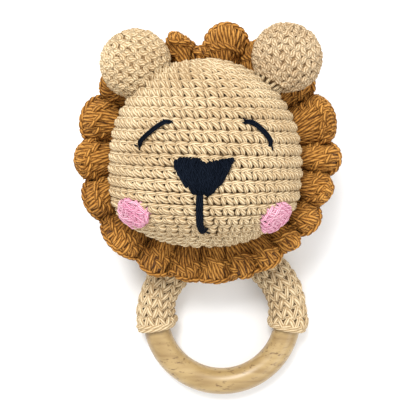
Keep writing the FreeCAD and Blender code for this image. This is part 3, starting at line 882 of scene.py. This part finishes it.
def mane_surface(q, t):
    """The mane's point at lobe count q and height t up the strip."""
    q, t = np.broadcast_arrays(np.asarray(q, float), np.asarray(t, float))
    q = np.mod(q, LOBES)
    lobe = np.minimum(q.astype(int), LOBES - 1)
    f = q - lobe
    crest = (1 - np.cos(2 * math.pi * f)) / 2
    edges, tips, heights, curls = (np.array(v, float) for v in (RECESSES, LOBE_TIP, LOBE_HEIGHT, LOBE_CURL))
    tips = tips - CHAIN_BULK
    lows = tips - np.array(LOBE_NOTCH)
    near = np.where(f < 0.5, lobe - 1, (lobe + 1) % LOBES)
    closing = PINCH * np.minimum(heights[lobe] / 6.0, 1) * np.clip(t * 1.8, 0, 1)
    pinched = f - closing * np.sin(2 * math.pi * f)
    angle = np.radians(edges[lobe] + (edges[lobe + 1] - edges[lobe]) * pinched)
    start = np.interp(angle, REACH_ANGLES, REACH, period=2 * math.pi) - 1.5
    height = heights[lobe] * crest + (heights[lobe] + heights[near]) / 2 * (1 - crest)
    low = (lows[lobe] + lows[near]) / 2
    rim = low + (tips[lobe] - low) * crest**0.62
    curl = curls[lobe]
    r = start + (rim - start) * np.sin(t * 1.5) / math.sin(1.5)
    r += curl * crest * (1.5 * np.sin(math.pi * np.clip(t, 0, 1)) - 2.4 * t**3)
    wave = 2 * crest - 1
    rise = wave * height * (0.35 + 0.65 * np.clip(t * 1.3, 0, 1) ** 0.8)
    outer = np.clip(t - 0.45, 0, 1) / 0.55
    lean = 2.4 * curl * outer - 4.0 * (1 - curl) * outer**2
    dome = crest * (1.8 * np.sin(math.pi * np.clip(t, 0, 1)) + lean)
    z = MANE_Z + rise + dome
    return np.stack([MANE_CENTRE[0] + r * np.cos(angle), MANE_CENTRE[1] + r * np.sin(angle), z], -1)


def mane_normal(q, t):
    step = 0.01
    along = mane_surface(q + step, t) - mane_surface(q - step, t)
    up = mane_surface(q, t + step) - mane_surface(q, t - step)
    return unit(np.cross(up, along))


# %% Where the tall stitches stand
dense_q = np.linspace(0, LOBES, LOBES * 60 + 1)
edge_line = mane_surface(np.minimum(dense_q, LOBES - 1e-6), 0.9)
edge_length = np.concatenate([[0], np.cumsum(np.linalg.norm(np.diff(edge_line, axis=0), axis=1))])
POST_SPACING = 2.75
post_count = int(edge_length[-1] / POST_SPACING)
post_q = np.interp((np.arange(post_count) + 0.5) * edge_length[-1] / post_count, edge_length, dense_q)
print("mane edge", round(edge_length[-1]), "mm, tall stitches", post_count)

# %% [markdown]
# The strip's tall stitches stand side by side on both faces of a thin backing, which keeps the folds from
# being seen through. Each has a short yarn wrapped across it, as a treble stitch has. The backing's dark
# tone is painted shade for the depths between the stitches.

# %% Twist the tall stitches
POST_STEPS, POST_TOP, POST_RADIUS, POST_SIDE, POST_OUT = 10, 0.97, 0.94, 0.78, 0.50
# a wrap's corners, each as (across the post, along it, out from it)
WRAP = [(-1.5, -0.9, 0.2), (-0.5, -0.2, 1.15), (0.6, 0.7, 1.15), (1.5, 1.3, 0.2)]
WRAP_STEPS, WRAP_RADIUS = 6, 0.90


def twisted_posts():
    """Two yarns round each other for each tall stitch, with a wrap across both."""
    paths, thick = [], []
    for q in post_q:
        t = np.linspace(0.0, POST_TOP, POST_STEPS)
        line, normal = mane_surface(q, t), mane_normal(q, t)
        side = unit(np.cross(normal, np.gradient(line, axis=0)))
        phase, turn = rng.uniform(0, 2 * math.pi), rng.uniform(0.5, 1.1) * math.pi
        for k in (0, 1):
            a = (phase + k * math.pi + turn * t)[:, None]
            paths.append(line + (np.cos(a) * side * POST_SIDE + np.sin(a) * normal * POST_OUT))
            thick.append(np.full(POST_STEPS, POST_RADIUS) * rng.uniform(0.92, 1.08))
        for face in (1, -1):
            i = int(rng.uniform(0.35, 0.6) * (POST_STEPS - 1))
            c, n, w, u = line[i], normal[i], side[i], unit(line[i + 1] - line[i])
            wrap = [c + w * across + u * along + n * face * away for across, along, away in WRAP]
            paths.append(smooth_path(wrap, WRAP_STEPS))
            thick.append(rounded(WRAP_STEPS, WRAP_RADIUS))
    return paths, thick


post_paths, post_thick = twisted_posts()
print("yarns in the tall stitches", len(post_paths))

# %% Crochet the edge and make the mane
CHAIN_AT, CHAIN_REACH, CHAIN_STEPS, CHAIN_RADIUS = 0.98, 1.35, 7, 0.95
# the chain's two arms, each as (out from the fabric, out past its edge)
CHAIN_ARMS = [(0.35, -1.55), (-0.45, 1.05)]


def edge_chain():
    """The chain round the free edge: at each stitch two loops spread from one point and cross the next."""
    paths, thick = [], []
    near = np.append(post_q, post_q[0] + LOBES)
    for q0, q1 in zip(near[:-1], near[1:]):
        normal = mane_normal(q0, 0.96)
        here = mane_surface(q0, CHAIN_AT) + normal
        there = mane_surface(q0 + (q1 - q0) * CHAIN_REACH, CHAIN_AT) + normal
        out = unit(mane_surface(q0, 1.0) - mane_surface(q0, 0.9))
        for away, past in CHAIN_ARMS:
            arm = normal * away + out * past
            early, late = here * 0.7 + there * 0.3, here * 0.3 + there * 0.7
            corners = [here, early + arm * 0.9, late + arm, there + arm * 0.1]
            paths.append(smooth_path(corners, CHAIN_STEPS))
            thick.append(rounded(CHAIN_STEPS, CHAIN_RADIUS))
    return paths, thick


chain_paths, chain_thick = edge_chain()
mane_strands = strands("mane_stitches", post_paths + chain_paths, post_thick + chain_thick, mustard_yarn, 6)
finish_piece(mane_strands, "head", "mustard_cotton", "mane")

# %% Back the mane
MANE_CLOTH = 0.35
round_the_head = np.linspace(0, LOBES, LOBES * 16 + 1)[:-1]
q_grid, t_grid = np.meshgrid(round_the_head, np.linspace(0, 0.95, 10), indexing="ij")
skin, lift = mane_surface(q_grid, t_grid), MANE_CLOTH * mane_normal(q_grid, t_grid)
shell = np.concatenate([skin + lift, (skin - lift)[:, ::-1]], axis=1)
# the backing takes the dark mustard ground: painted shade between the tall stitches
mane_backing = grid_mesh("mane_backing", shell, mustard_ground_painted_shade, wrap_first=True, wrap_second=True)
finish_piece(mane_backing, "head", "mustard_cotton", "mane")

# %% [markdown]
# ## Wooden ring
# The ring is turned from one piece of pale beech and waxed. Turning leaves it not quite round in section, and
# the wood's grain runs straight across the ring, not round it.

# %% Turn the ring


def ring_frame():
    """The ring's own X, Y and axis in the toy's frame."""
    c, s = math.cos(RING_TILT), math.sin(RING_TILT)
    return np.array([1.0, 0, 0]), np.array([0, c, s]), np.array([0, -s, c])


RX, RY, RZ = ring_frame()


def on_tube(along, around, radius):
    """A point at an angle round the ring, an angle round its tube, and a distance from the tube's middle."""
    along, around, radius = np.broadcast_arrays(*(np.asarray(v, float) for v in (along, around, radius)))
    way = np.cos(along)[..., None] * RX + np.sin(along)[..., None] * RY
    reach = RING_R + radius * np.cos(around)
    return RING_CENTRE + reach[..., None] * way + (radius * np.sin(around))[..., None] * RZ


u_grid, v_grid = np.meshgrid(
    np.linspace(0, 2 * math.pi, 193)[:-1], np.linspace(0, 2 * math.pi, 41)[:-1], indexing="ij"
)
tube = RING_TUBE - 0.04 + 0.035 * np.sin(2 * v_grid + 0.6) * np.cos(u_grid)
turned_ring = grid_mesh("turned_ring", on_tube(u_grid, v_grid, tube), waxed_beech, True, True)
finish_piece(turned_ring, "ring", "ring_wood", "wooden_ring")

# %% [markdown]
# ## Sleeve
# The sleeve is a flat piece of crochet, wrapped round the upper half of the ring and laced shut at the back.
# Its rows run round the tube. Stitches on the inside of the bend are squeezed and those on the outside are
# stretched, and its two ends roll into soft rims. It must stay clear of the wood, which turns inside it.

# %% Crochet the sleeve
SLEEVE_FROM, SLEEVE_TO = math.radians(-8.3), math.radians(188.3)
SLEEVE_R, SLEEVE_RELIEF = 6.05, 0.58
AROUND, SLEEVE_ROWS = 10, 23
# the share of a stitch by which each row is shifted round the tube
ROW_SHIFT = 0.18


def sleeve_radius(along, around):
    """The middle of the fabric from the tube's centre line, with rolled ends and one soft bulge."""
    edge = np.minimum(along - SLEEVE_FROM, SLEEVE_TO - along)
    roll = 0.50 * np.exp(-((edge / 0.12) ** 2))
    bulge = 1.1 * np.exp(-(((along - SLEEVE_TO + 0.13) / 0.13) ** 2)) * np.exp(-2.2 * (1 + np.cos(around)))
    return SLEEVE_R + roll + bulge + 0.12 * np.sin(3 * around + 5 * along)


def sleeve_places():
    places = []
    step = (SLEEVE_TO - SLEEVE_FROM) / SLEEVE_ROWS
    small = 1e-3
    for row in range(SLEEVE_ROWS):
        along = SLEEVE_FROM + step * (row + 0.02)
        for k in range(AROUND):
            around = 2 * math.pi * (k + ROW_SHIFT * row + 0.5) / AROUND
            point = on_tube(along, around, sleeve_radius(along, around))
            up = on_tube(along + small, around, sleeve_radius(along, around)) - point
            right = point - on_tube(along, around + small, sleeve_radius(along, around))
            out = unit(np.cross(right, up))
            right = unit(right)
            up = np.cross(out, right)
            reach = RING_R + SLEEVE_R * math.cos(around)
            places.append((point, right, up, out, SLEEVE_STITCH_WIDTH, reach * step, SLEEVE_RELIEF))
    return places


sleeve_stitches = lay_stitches("sleeve_stitches", sleeve_places(), tent_stitch, beige_yarn, 0.06, 9)

# %% Roll the sleeve's ends and line it
RIM_STEPS, RIM_RADIUS = 49, 0.92
# the lining lies this far under the stitches and this far off the wood
UNDER_STITCHES, OFF_WOOD = 0.25, 0.22


def rim_paths(along, way):
    """The two rolled yarns of one end of the sleeve."""
    paths = []
    for shift, radius in ((-0.02, SLEEVE_R + 0.65), (0.025, SLEEVE_R + 0.25)):
        a = np.linspace(0, 2 * math.pi, RIM_STEPS)
        wave = 0.15 * np.sin(12 * a)
        paths.append(on_tube(along + way * shift, a, radius + wave))
    return paths


rims = rim_paths(SLEEVE_FROM, -1) + rim_paths(SLEEVE_TO, 1)
sleeve_rims = strands("sleeve_rims", rims, [np.full(RIM_STEPS, RIM_RADIUS)] * len(rims), beige_yarn, 8)
u_grid, v_grid = turned_grid(SLEEVE_FROM - 0.02, SLEEVE_TO + 0.02, 90, 36)
outer = on_tube(u_grid, v_grid, sleeve_radius(u_grid, v_grid) - UNDER_STITCHES)
inner = on_tube(u_grid, v_grid, np.full(u_grid.shape, RING_TUBE + OFF_WOOD))
sleeve_ground = grid_mesh(
    "sleeve_ground", np.concatenate([outer, inner[::-1]], axis=0), beige_ground_painted_shade, True, True
)
sleeve_knit = join_meshes("sleeve_knit", [sleeve_stitches, sleeve_rims, sleeve_ground])
finish_piece(sleeve_knit, "sleeve", "beige_cotton", "ring_sleeve")

# %% [markdown]
# ## Seams
# The ears, the mane, the sleeve and the neck are each closed or joined with short oversewn stitches of the
# same yarn. The neck's yarns cross from the head to the sleeve.

# %% Lace the sleeve
WHIP_STEPS, FINE_YARN, TIE_YARN = 6, 0.5, 0.6


def whip(points, across, outs, lift=0.5, sink=0.5):
    """A short arched stitch at each point, lying across the seam, with its ends sunk in the fabric."""
    paths = []
    for p, a, n in zip(points, across, outs):
        corners = [p - a - n * sink, p - a * 0.5 + n * lift, p + a * 0.5 + n * lift, p + a - n * sink]
        paths.append(smooth_path(corners, WHIP_STEPS))
    return paths


LACES, LACING_SIDE = 34, math.radians(225.0)
lacing_along = np.linspace(SLEEVE_FROM + 0.05, SLEEVE_TO - 0.05, LACES)
lace_at = on_tube(lacing_along, LACING_SIDE, SLEEVE_R + 0.55)
lace_out = unit(lace_at - on_tube(lacing_along, LACING_SIDE, 0.0))
lace_way = unit(np.gradient(lace_at, axis=0))
lace_side = lace_way * 0.9 + unit(np.cross(lace_out, lace_way)) * 1.1
lacing = strands("sleeve_lacing", whip(lace_at, lace_side, lace_out), FINE_YARN, beige_yarn)
finish_piece(lacing, "sleeve", "beige_cotton", "sleeve_seam_thread")

# %% Sew on the ears
EAR_SEAM_STITCHES = 16


def head_depth(points):
    """Distance outside the head's form, roughly, for points in the toy's frame."""
    c, s = math.cos(HEAD_TILT), math.sin(HEAD_TILT)
    y, z = points[..., 1], points[..., 2] - HEAD_Z
    along, away = y * c + z * s, np.hypot(points[..., 0], -y * s + z * c)
    gap = np.hypot(along[..., None] - profile[:, 1], away[..., None] - profile[:, 0])
    limit = np.interp(along, profile[:, 1], profile[:, 0], left=0, right=0)
    return np.min(gap, axis=-1) * np.where(away > limit, 1, -1)


def ear_seam(side):
    """Oversewn stitches where one ear meets the head."""
    surface = ear_surface(side)
    points, across, outs = [], [], []
    for angle in np.linspace(0, 2 * math.pi, EAR_SEAM_STITCHES + 1)[:-1]:
        s = np.linspace(EAR_R * 1.2, EAR_R * math.pi * 0.98, 80)
        p = surface(s, angle, 0.3)
        depth = head_depth(p)
        k = int(np.argmax(depth < 0.6))
        k = min(max(k, 1), len(s) - 2)
        points.append(p[k])
        down = unit(p[k + 1] - p[k - 1])
        across.append(down * 1.7 + unit(np.cross(down, p[k] - surface(0, 0, -20))) * 0.5)
        outs.append(unit(p[k] - surface(s[k], angle, -2.0)))
    thread = strands(side + "_ear_sewing", whip(points, across, outs, 0.1, 1.6), TIE_YARN, beige_yarn)
    finish_piece(thread, "head", "beige_cotton", side + "_ear_thread")


for side in EARS:
    ear_seam(side)

# %% Sew on the mane and tie the neck
MANE_SEAM_STITCHES, SEAM_AT = 56, 0.06
seam_q = np.linspace(0, LOBES, MANE_SEAM_STITCHES + 1)[:-1]
seam_p = mane_surface(seam_q, SEAM_AT)
seam_up = unit(mane_surface(seam_q, 0.12) - mane_surface(seam_q, 0.0))
seam_n = mane_normal(seam_q, SEAM_AT)
mane_sewing = strands("mane_sewing", whip(seam_p, seam_up * 1.5, seam_n), FINE_YARN, mustard_yarn)
finish_piece(mane_sewing, "head", "mustard_cotton", "mane_thread")

NECK_HALF, NECK_TIES, NECK_STEPS, NECK_SLANT = 6.0, 7, 7, math.radians(50.0)
neck_way = np.array([0, math.cos(NECK_SLANT), math.sin(NECK_SLANT)])
neck_paths = []
for x in np.linspace(-NECK_HALF, NECK_HALF, NECK_TIES):
    top = RING_CENTRE + RX * x + RY * math.sqrt(RING_R**2 - x**2)
    low = top + neck_way * (SLEEVE_R + 0.6)
    first, last = low - neck_way * 0.9 + [0.5, -0.6, 0], low + neck_way * 2.6 + [-0.3, 0.4, 0]
    neck_paths.append(smooth_path([first, low + [0.2, 0.3, 0.4], last], NECK_STEPS))
neck_sewing = strands("neck_sewing", neck_paths, TIE_YARN, beige_yarn)
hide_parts("neck_thread")
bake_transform(neck_sewing)
print("neck ties", NECK_TIES)

# %% [markdown]
# ## Face
# The face is embroidered. Satin stitches are strands laid side by side, each going into the fabric at both
# ends. They lie on top of the crochet, so each strand rises from just under the surface to about a
# millimetre above it, and dips again.

# %% Points on the face


def face_point(x, y):
    """The point of the head's front above (x, y), found by halving the gap round the surface."""
    x, y = np.broadcast_arrays(np.asarray(x, float), np.asarray(y, float))
    low, high = np.full(x.shape, HEAD_Z), np.full(x.shape, HEAD_Z + 45.0)
    for _ in range(40):
        middle = (low + high) / 2
        outside = head_depth(np.stack([x, y, middle], -1)) > 0
        high, low = np.where(outside, middle, high), np.where(outside, low, middle)
    return np.stack([x, y, (low + high) / 2], -1)


def face_normal(x, y):
    step = 0.3
    across = face_point(x + step, y) - face_point(x - step, y)
    up = face_point(x, y + step) - face_point(x, y - step)
    return unit(np.cross(across, up))


FACE_SHARE, SATIN_STEPS = 0.955, 9


def before_edge(x, y):
    """Keeps points on the front of the head, short of its outline."""
    limit = FACE_SHARE * np.interp(y, profile[:, 1], profile[:, 0])
    return np.clip(x, -limit, limit), y


def satin(name, pairs, radius, top, material, node, slot):
    """Strands between pairs of (x, y) points, laid over the face and sunk at both ends."""
    paths = []
    for number, (a, b) in enumerate(pairs):
        t = np.linspace(0, 1, SATIN_STEPS)
        x, y = before_edge(a[0] + (b[0] - a[0]) * t, a[1] + (b[1] - a[1]) * t)
        arch = np.minimum(1, np.minimum(t, 1 - t) * 7) ** 0.6
        height = -0.9 + (0.9 + top + 0.25 * (number % 3)) * arch
        paths.append(face_point(x, y) + face_normal(x, y) * height[:, None])
    finish_piece(strands(name, paths, radius, material), "head", slot, node)


def jitter(amount):
    return rng.uniform(-amount, amount)


# %% Embroider the nose


def hatch(outline, angle, spacing, wander=0.25):
    """Pairs of points where parallel lines at an angle cross an outline."""
    points = np.array(outline, float)
    a = math.radians(angle)
    way, side = np.array([math.cos(a), math.sin(a)]), np.array([-math.sin(a), math.cos(a)])
    across, along = points @ side, points @ way
    pairs = []
    for offset in np.arange(across.min() + 0.35, across.max() - 0.2, spacing):
        crossings = []
        for k in range(len(points)):
            m = (k + 1) % len(points)
            if (across[k] - offset) * (across[m] - offset) < 0:
                f = (offset - across[k]) / (across[m] - across[k])
                crossings.append(along[k] + (along[m] - along[k]) * f)
        crossings.sort()
        if len(crossings) > 1 and crossings[-1] - crossings[0] > 1.0:
            first, last = crossings[0] + jitter(wander), crossings[-1] + jitter(wander)
            pairs.append((way * first + side * offset, way * last + side * (offset + jitter(wander))))
    return pairs


NOSE = [
    (-9.5, 1.3), (-7.6, 2.3), (-3.7, 2.5), (-1.5, 1.7), (1.1, 0.9), (3.4, 1.5), (6.3, 1.7), (9.1, 2.0),
    (8.7, 0.2), (6.6, -4.2), (4.3, -7.7), (1.4, -10.8), (-2.8, -10.6), (-6.0, -7.4), (-7.9, -5.0),
    (-9.2, -1.6),
]
nose_pairs = []
for slope, spacing in ((62, 0.95), (118, 0.95), (90, 0.85)):
    nose_pairs += hatch(NOSE, slope, spacing, 0.1)
nose_pairs += [((-9.3, 0.6), (-2.2, -10.6)), ((9.0, 0.8), (0.9, -10.8))]
satin("nose_embroidery", nose_pairs, 0.60, 0.75, black_yarn, "nose", "black_thread")

# %% Embroider the mouth and the eyes
LINE_STEPS, END_STEPS = 15, 5


def line_strands(name, lines, radius, top, material, node, slot, ends=()):
    """Long stitches that follow curved lines on the face, with short stray ends."""
    paths = []
    t = np.linspace(0, 1, LINE_STEPS)
    for points in lines:
        flat = smooth_path(points, LINE_STEPS)
        arch = np.minimum(1, np.minimum(t, 1 - t) * 9)
        height = (-0.6 + (0.6 + top) * arch)[:, None]
        paths.append(face_point(flat[:, 0], flat[:, 1]) + face_normal(flat[:, 0], flat[:, 1]) * height)
    for a, b in ends:
        flat = smooth_path([a, ((a[0] + b[0]) / 2, (a[1] + b[1]) / 2), b], END_STEPS)
        paths.append(face_point(flat[:, 0], flat[:, 1]) + face_normal(flat[:, 0], flat[:, 1]) * (top * 0.9))
    thick = [rounded(LINE_STEPS, radius, 0.7)] * len(lines)
    thick += [rounded(END_STEPS, radius * 0.55, 0.3)] * len(ends)
    finish_piece(strands(name, paths, thick, material), "head", slot, node)


def beside(points, shift):
    """The line moved sideways by shift."""
    p = np.array(points, float)
    way = unit(np.gradient(p, axis=0))
    return p + np.stack([-way[:, 1], way[:, 0]], 1) * shift


MOUTH = [(-1.5, -9.0), (-1.6, -12.5), (-1.6, -16.0), (-1.5, -19.0), (-0.9, -20.8), (0.7, -21.9)]
LEFT_EYE = [(-21.5, 5.8), (-20.4, 7.9), (-18.0, 10.1), (-15.3, 12.2), (-13.0, 13.5), (-10.7, 14.0)]
RIGHT_EYE = [(12.6, 14.1), (15.6, 13.4), (18.2, 11.5), (20.6, 8.9), (21.9, 5.8)]
line_strands(
    "mouth_sewing", [beside(MOUTH, 0.62), beside(MOUTH, -0.62), beside(MOUTH, 0.0)], 0.62, 0.85, black_yarn,
    "mouth_stitch", "black_thread", [((0.4, -21.6), (1.9, -22.0)), ((-1.0, -20.6), (-0.6, -22.3))],
)
line_strands(
    "left_eye_sewing", [beside(LEFT_EYE, 0.36), beside(LEFT_EYE, -0.36)], 0.48, 0.95, black_yarn,
    "left_eye_stitch", "black_thread",
    [
        ((-21.4, 6.0), (-22.9, 6.7)), ((-21.2, 6.3), (-21.0, 4.6)), ((-12.6, 13.6), (-13.4, 14.8)),
        ((-11.4, 13.9), (-10.0, 13.5)),
    ],
)
line_strands(
    "right_eye_sewing", [beside(RIGHT_EYE, 0.40), beside(RIGHT_EYE, -0.40)], 0.50, 0.95, black_yarn,
    "right_eye_stitch", "black_thread",
    [
        ((21.8, 6.2), (22.0, 4.5)), ((13.2, 14.1), (12.1, 15.1)), ((13.4, 13.6), (11.9, 13.3)),
        ((15.0, 13.9), (15.4, 14.9)),
    ],
)

# %% Embroider the cheeks
LEFT_CHEEK = [
    (-29.8, -12.8), (-27.7, -10.8), (-22.9, -11.5), (-20.5, -13.7), (-18.0, -16.5), (-19.6, -20.4),
    (-23.5, -20.8), (-27.0, -19.2), (-29.3, -16.3),
]
RIGHT_CHEEK = [
    (26.0, -12.2), (29.6, -14.0), (29.0, -17.4), (25.8, -20.6), (21.7, -22.0), (19.2, -21.6), (19.0, -17.5),
    (21.4, -14.0),
]
for side, outline, slopes in (("left", LEFT_CHEEK, (-20, 75, -48)), ("right", RIGHT_CHEEK, (150, 20, 50))):
    pairs = []
    for slope, spacing, wander in zip(slopes, (1.1, 1.5, 1.3), (0.25, 0.8, 0.6)):
        pairs += hatch(outline, slope, spacing, wander)
    satin(side + "_cheek_satin", pairs, 0.68, 0.45, pink_yarn, side + "_cheek", "pink_thread")

# %% [markdown]
# ## Inside
# The stuffing is loose white fibre packed round a hollow plastic ball, and the ball holds six beads that
# rattle. None of it shows, but it is part of the toy, so it gets its own shapes and finishes.

# %% Fill the head and the ears


def fill_form(name, surface, length, lift, cells, node):
    """A lumpy closed form of packed fibre just inside a crocheted cover."""
    s, a = turned_grid(0, length, cells, cells)
    tuft = 0.25 * np.sin(9 * a + 0.8 * s) * np.sin(0.5 * s)
    obj = grid_mesh(name, surface(s, a, lift + tuft), fibre_fill, wrap_second=True)
    finish_piece(obj, "head", "fibrefill", node)


fill_form("head_fill", on_head, HEAD_LENGTH, -3.6, 64, "head_stuffing")
for side in EARS:
    fill_form(side + "_ear_fill", ear_surface(side), EAR_R * math.pi, -2.2, 32, side + "_ear_stuffing")


# %% Finish the capsule and its beads


def repaint(node, material):
    """Gives a CAD node a better material."""
    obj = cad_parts[node]
    obj.data.materials.clear()
    obj.data.materials.append(material)


for node in ("capsule_front", "capsule_back"):
    repaint(node, capsule_plastic)
for number in range(1, 7):
    repaint("pellet_%d" % number, pellet_plastic)
print("repainted", capsule_plastic.name, "and", pellet_plastic.name)

# %% [markdown]
# ## Stage
# The toy lies on a plain white table and is seen from straight above. One broad light stands beyond the
# ears and a little to the left, a weaker one fills from the right, and a pale sky lights the rest.

# %% Lay the floor
bpy.context.scene.view_settings.view_transform = "Standard"
for sample, _ in (upright_stitch, tent_stitch, plump_stitch):
    bpy.data.objects.remove(sample)
# the floor and the lights are in metres
FLOOR_SIDE, FLOOR_GAP = 6.0, 0.0002
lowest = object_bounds()[0]
bpy.ops.mesh.primitive_plane_add(size=FLOOR_SIDE, location=(0, 0, lowest[2] - FLOOR_GAP))
floor = bpy.context.object
floor.name = "floor"
white = bpy.data.materials.new("white table")
white.use_nodes = True
white_shader = white.node_tree.nodes["Principled BSDF"]
white_shader.inputs["Base Color"].default_value = (0.93, 0.93, 0.93, 1)
white_shader.inputs["Roughness"].default_value = 0.8
floor.data.materials.append(white)
print("floor at", round(floor.location.z, 4))

# %% Set the lights


def area_light(name, place, aim, size, power):
    light = bpy.data.lights.new(name, "AREA")
    light.size, light.energy = size, power
    obj = bpy.data.objects.new(name, light)
    obj.location = place
    obj.rotation_euler = (Vector(aim) - Vector(place)).to_track_quat("-Z", "Y").to_euler()
    bpy.context.scene.collection.objects.link(obj)


area_light("window", (-0.15, 0.37, 0.75), (0, 0, 0.03), 0.35, 6.5)
area_light("fill", (0.5, -0.5, 0.7), (0, 0, 0.03), 0.6, 2.5)
world = bpy.data.worlds.new("pale room")
bpy.context.scene.world = world
world.use_nodes = True
sky = world.node_tree.nodes["Background"]
sky.inputs["Color"].default_value = (1.0, 1.0, 1.0, 1)
sky.inputs["Strength"].default_value = 0.9
print("lights", [light.name for light in bpy.data.lights])

# %% Place the camera
# in millimetres: where the camera is, and how wide a view it has at what distance
CAMERA_AT = (1.1, -14.2, 406.0)
VIEW_WIDTH, VIEW_DISTANCE, SENSOR = 158.1, 400.0, 36.0
camera_data = bpy.data.cameras.new("camera")
camera_data.sensor_width = SENSOR
camera_data.lens = SENSOR * VIEW_DISTANCE / VIEW_WIDTH
camera = bpy.data.objects.new("camera", camera_data)
camera.location = tuple(v * MM for v in CAMERA_AT)
bpy.context.scene.collection.objects.link(camera)
bpy.context.scene.camera = camera
print("lens", round(camera_data.lens, 1), "mm")
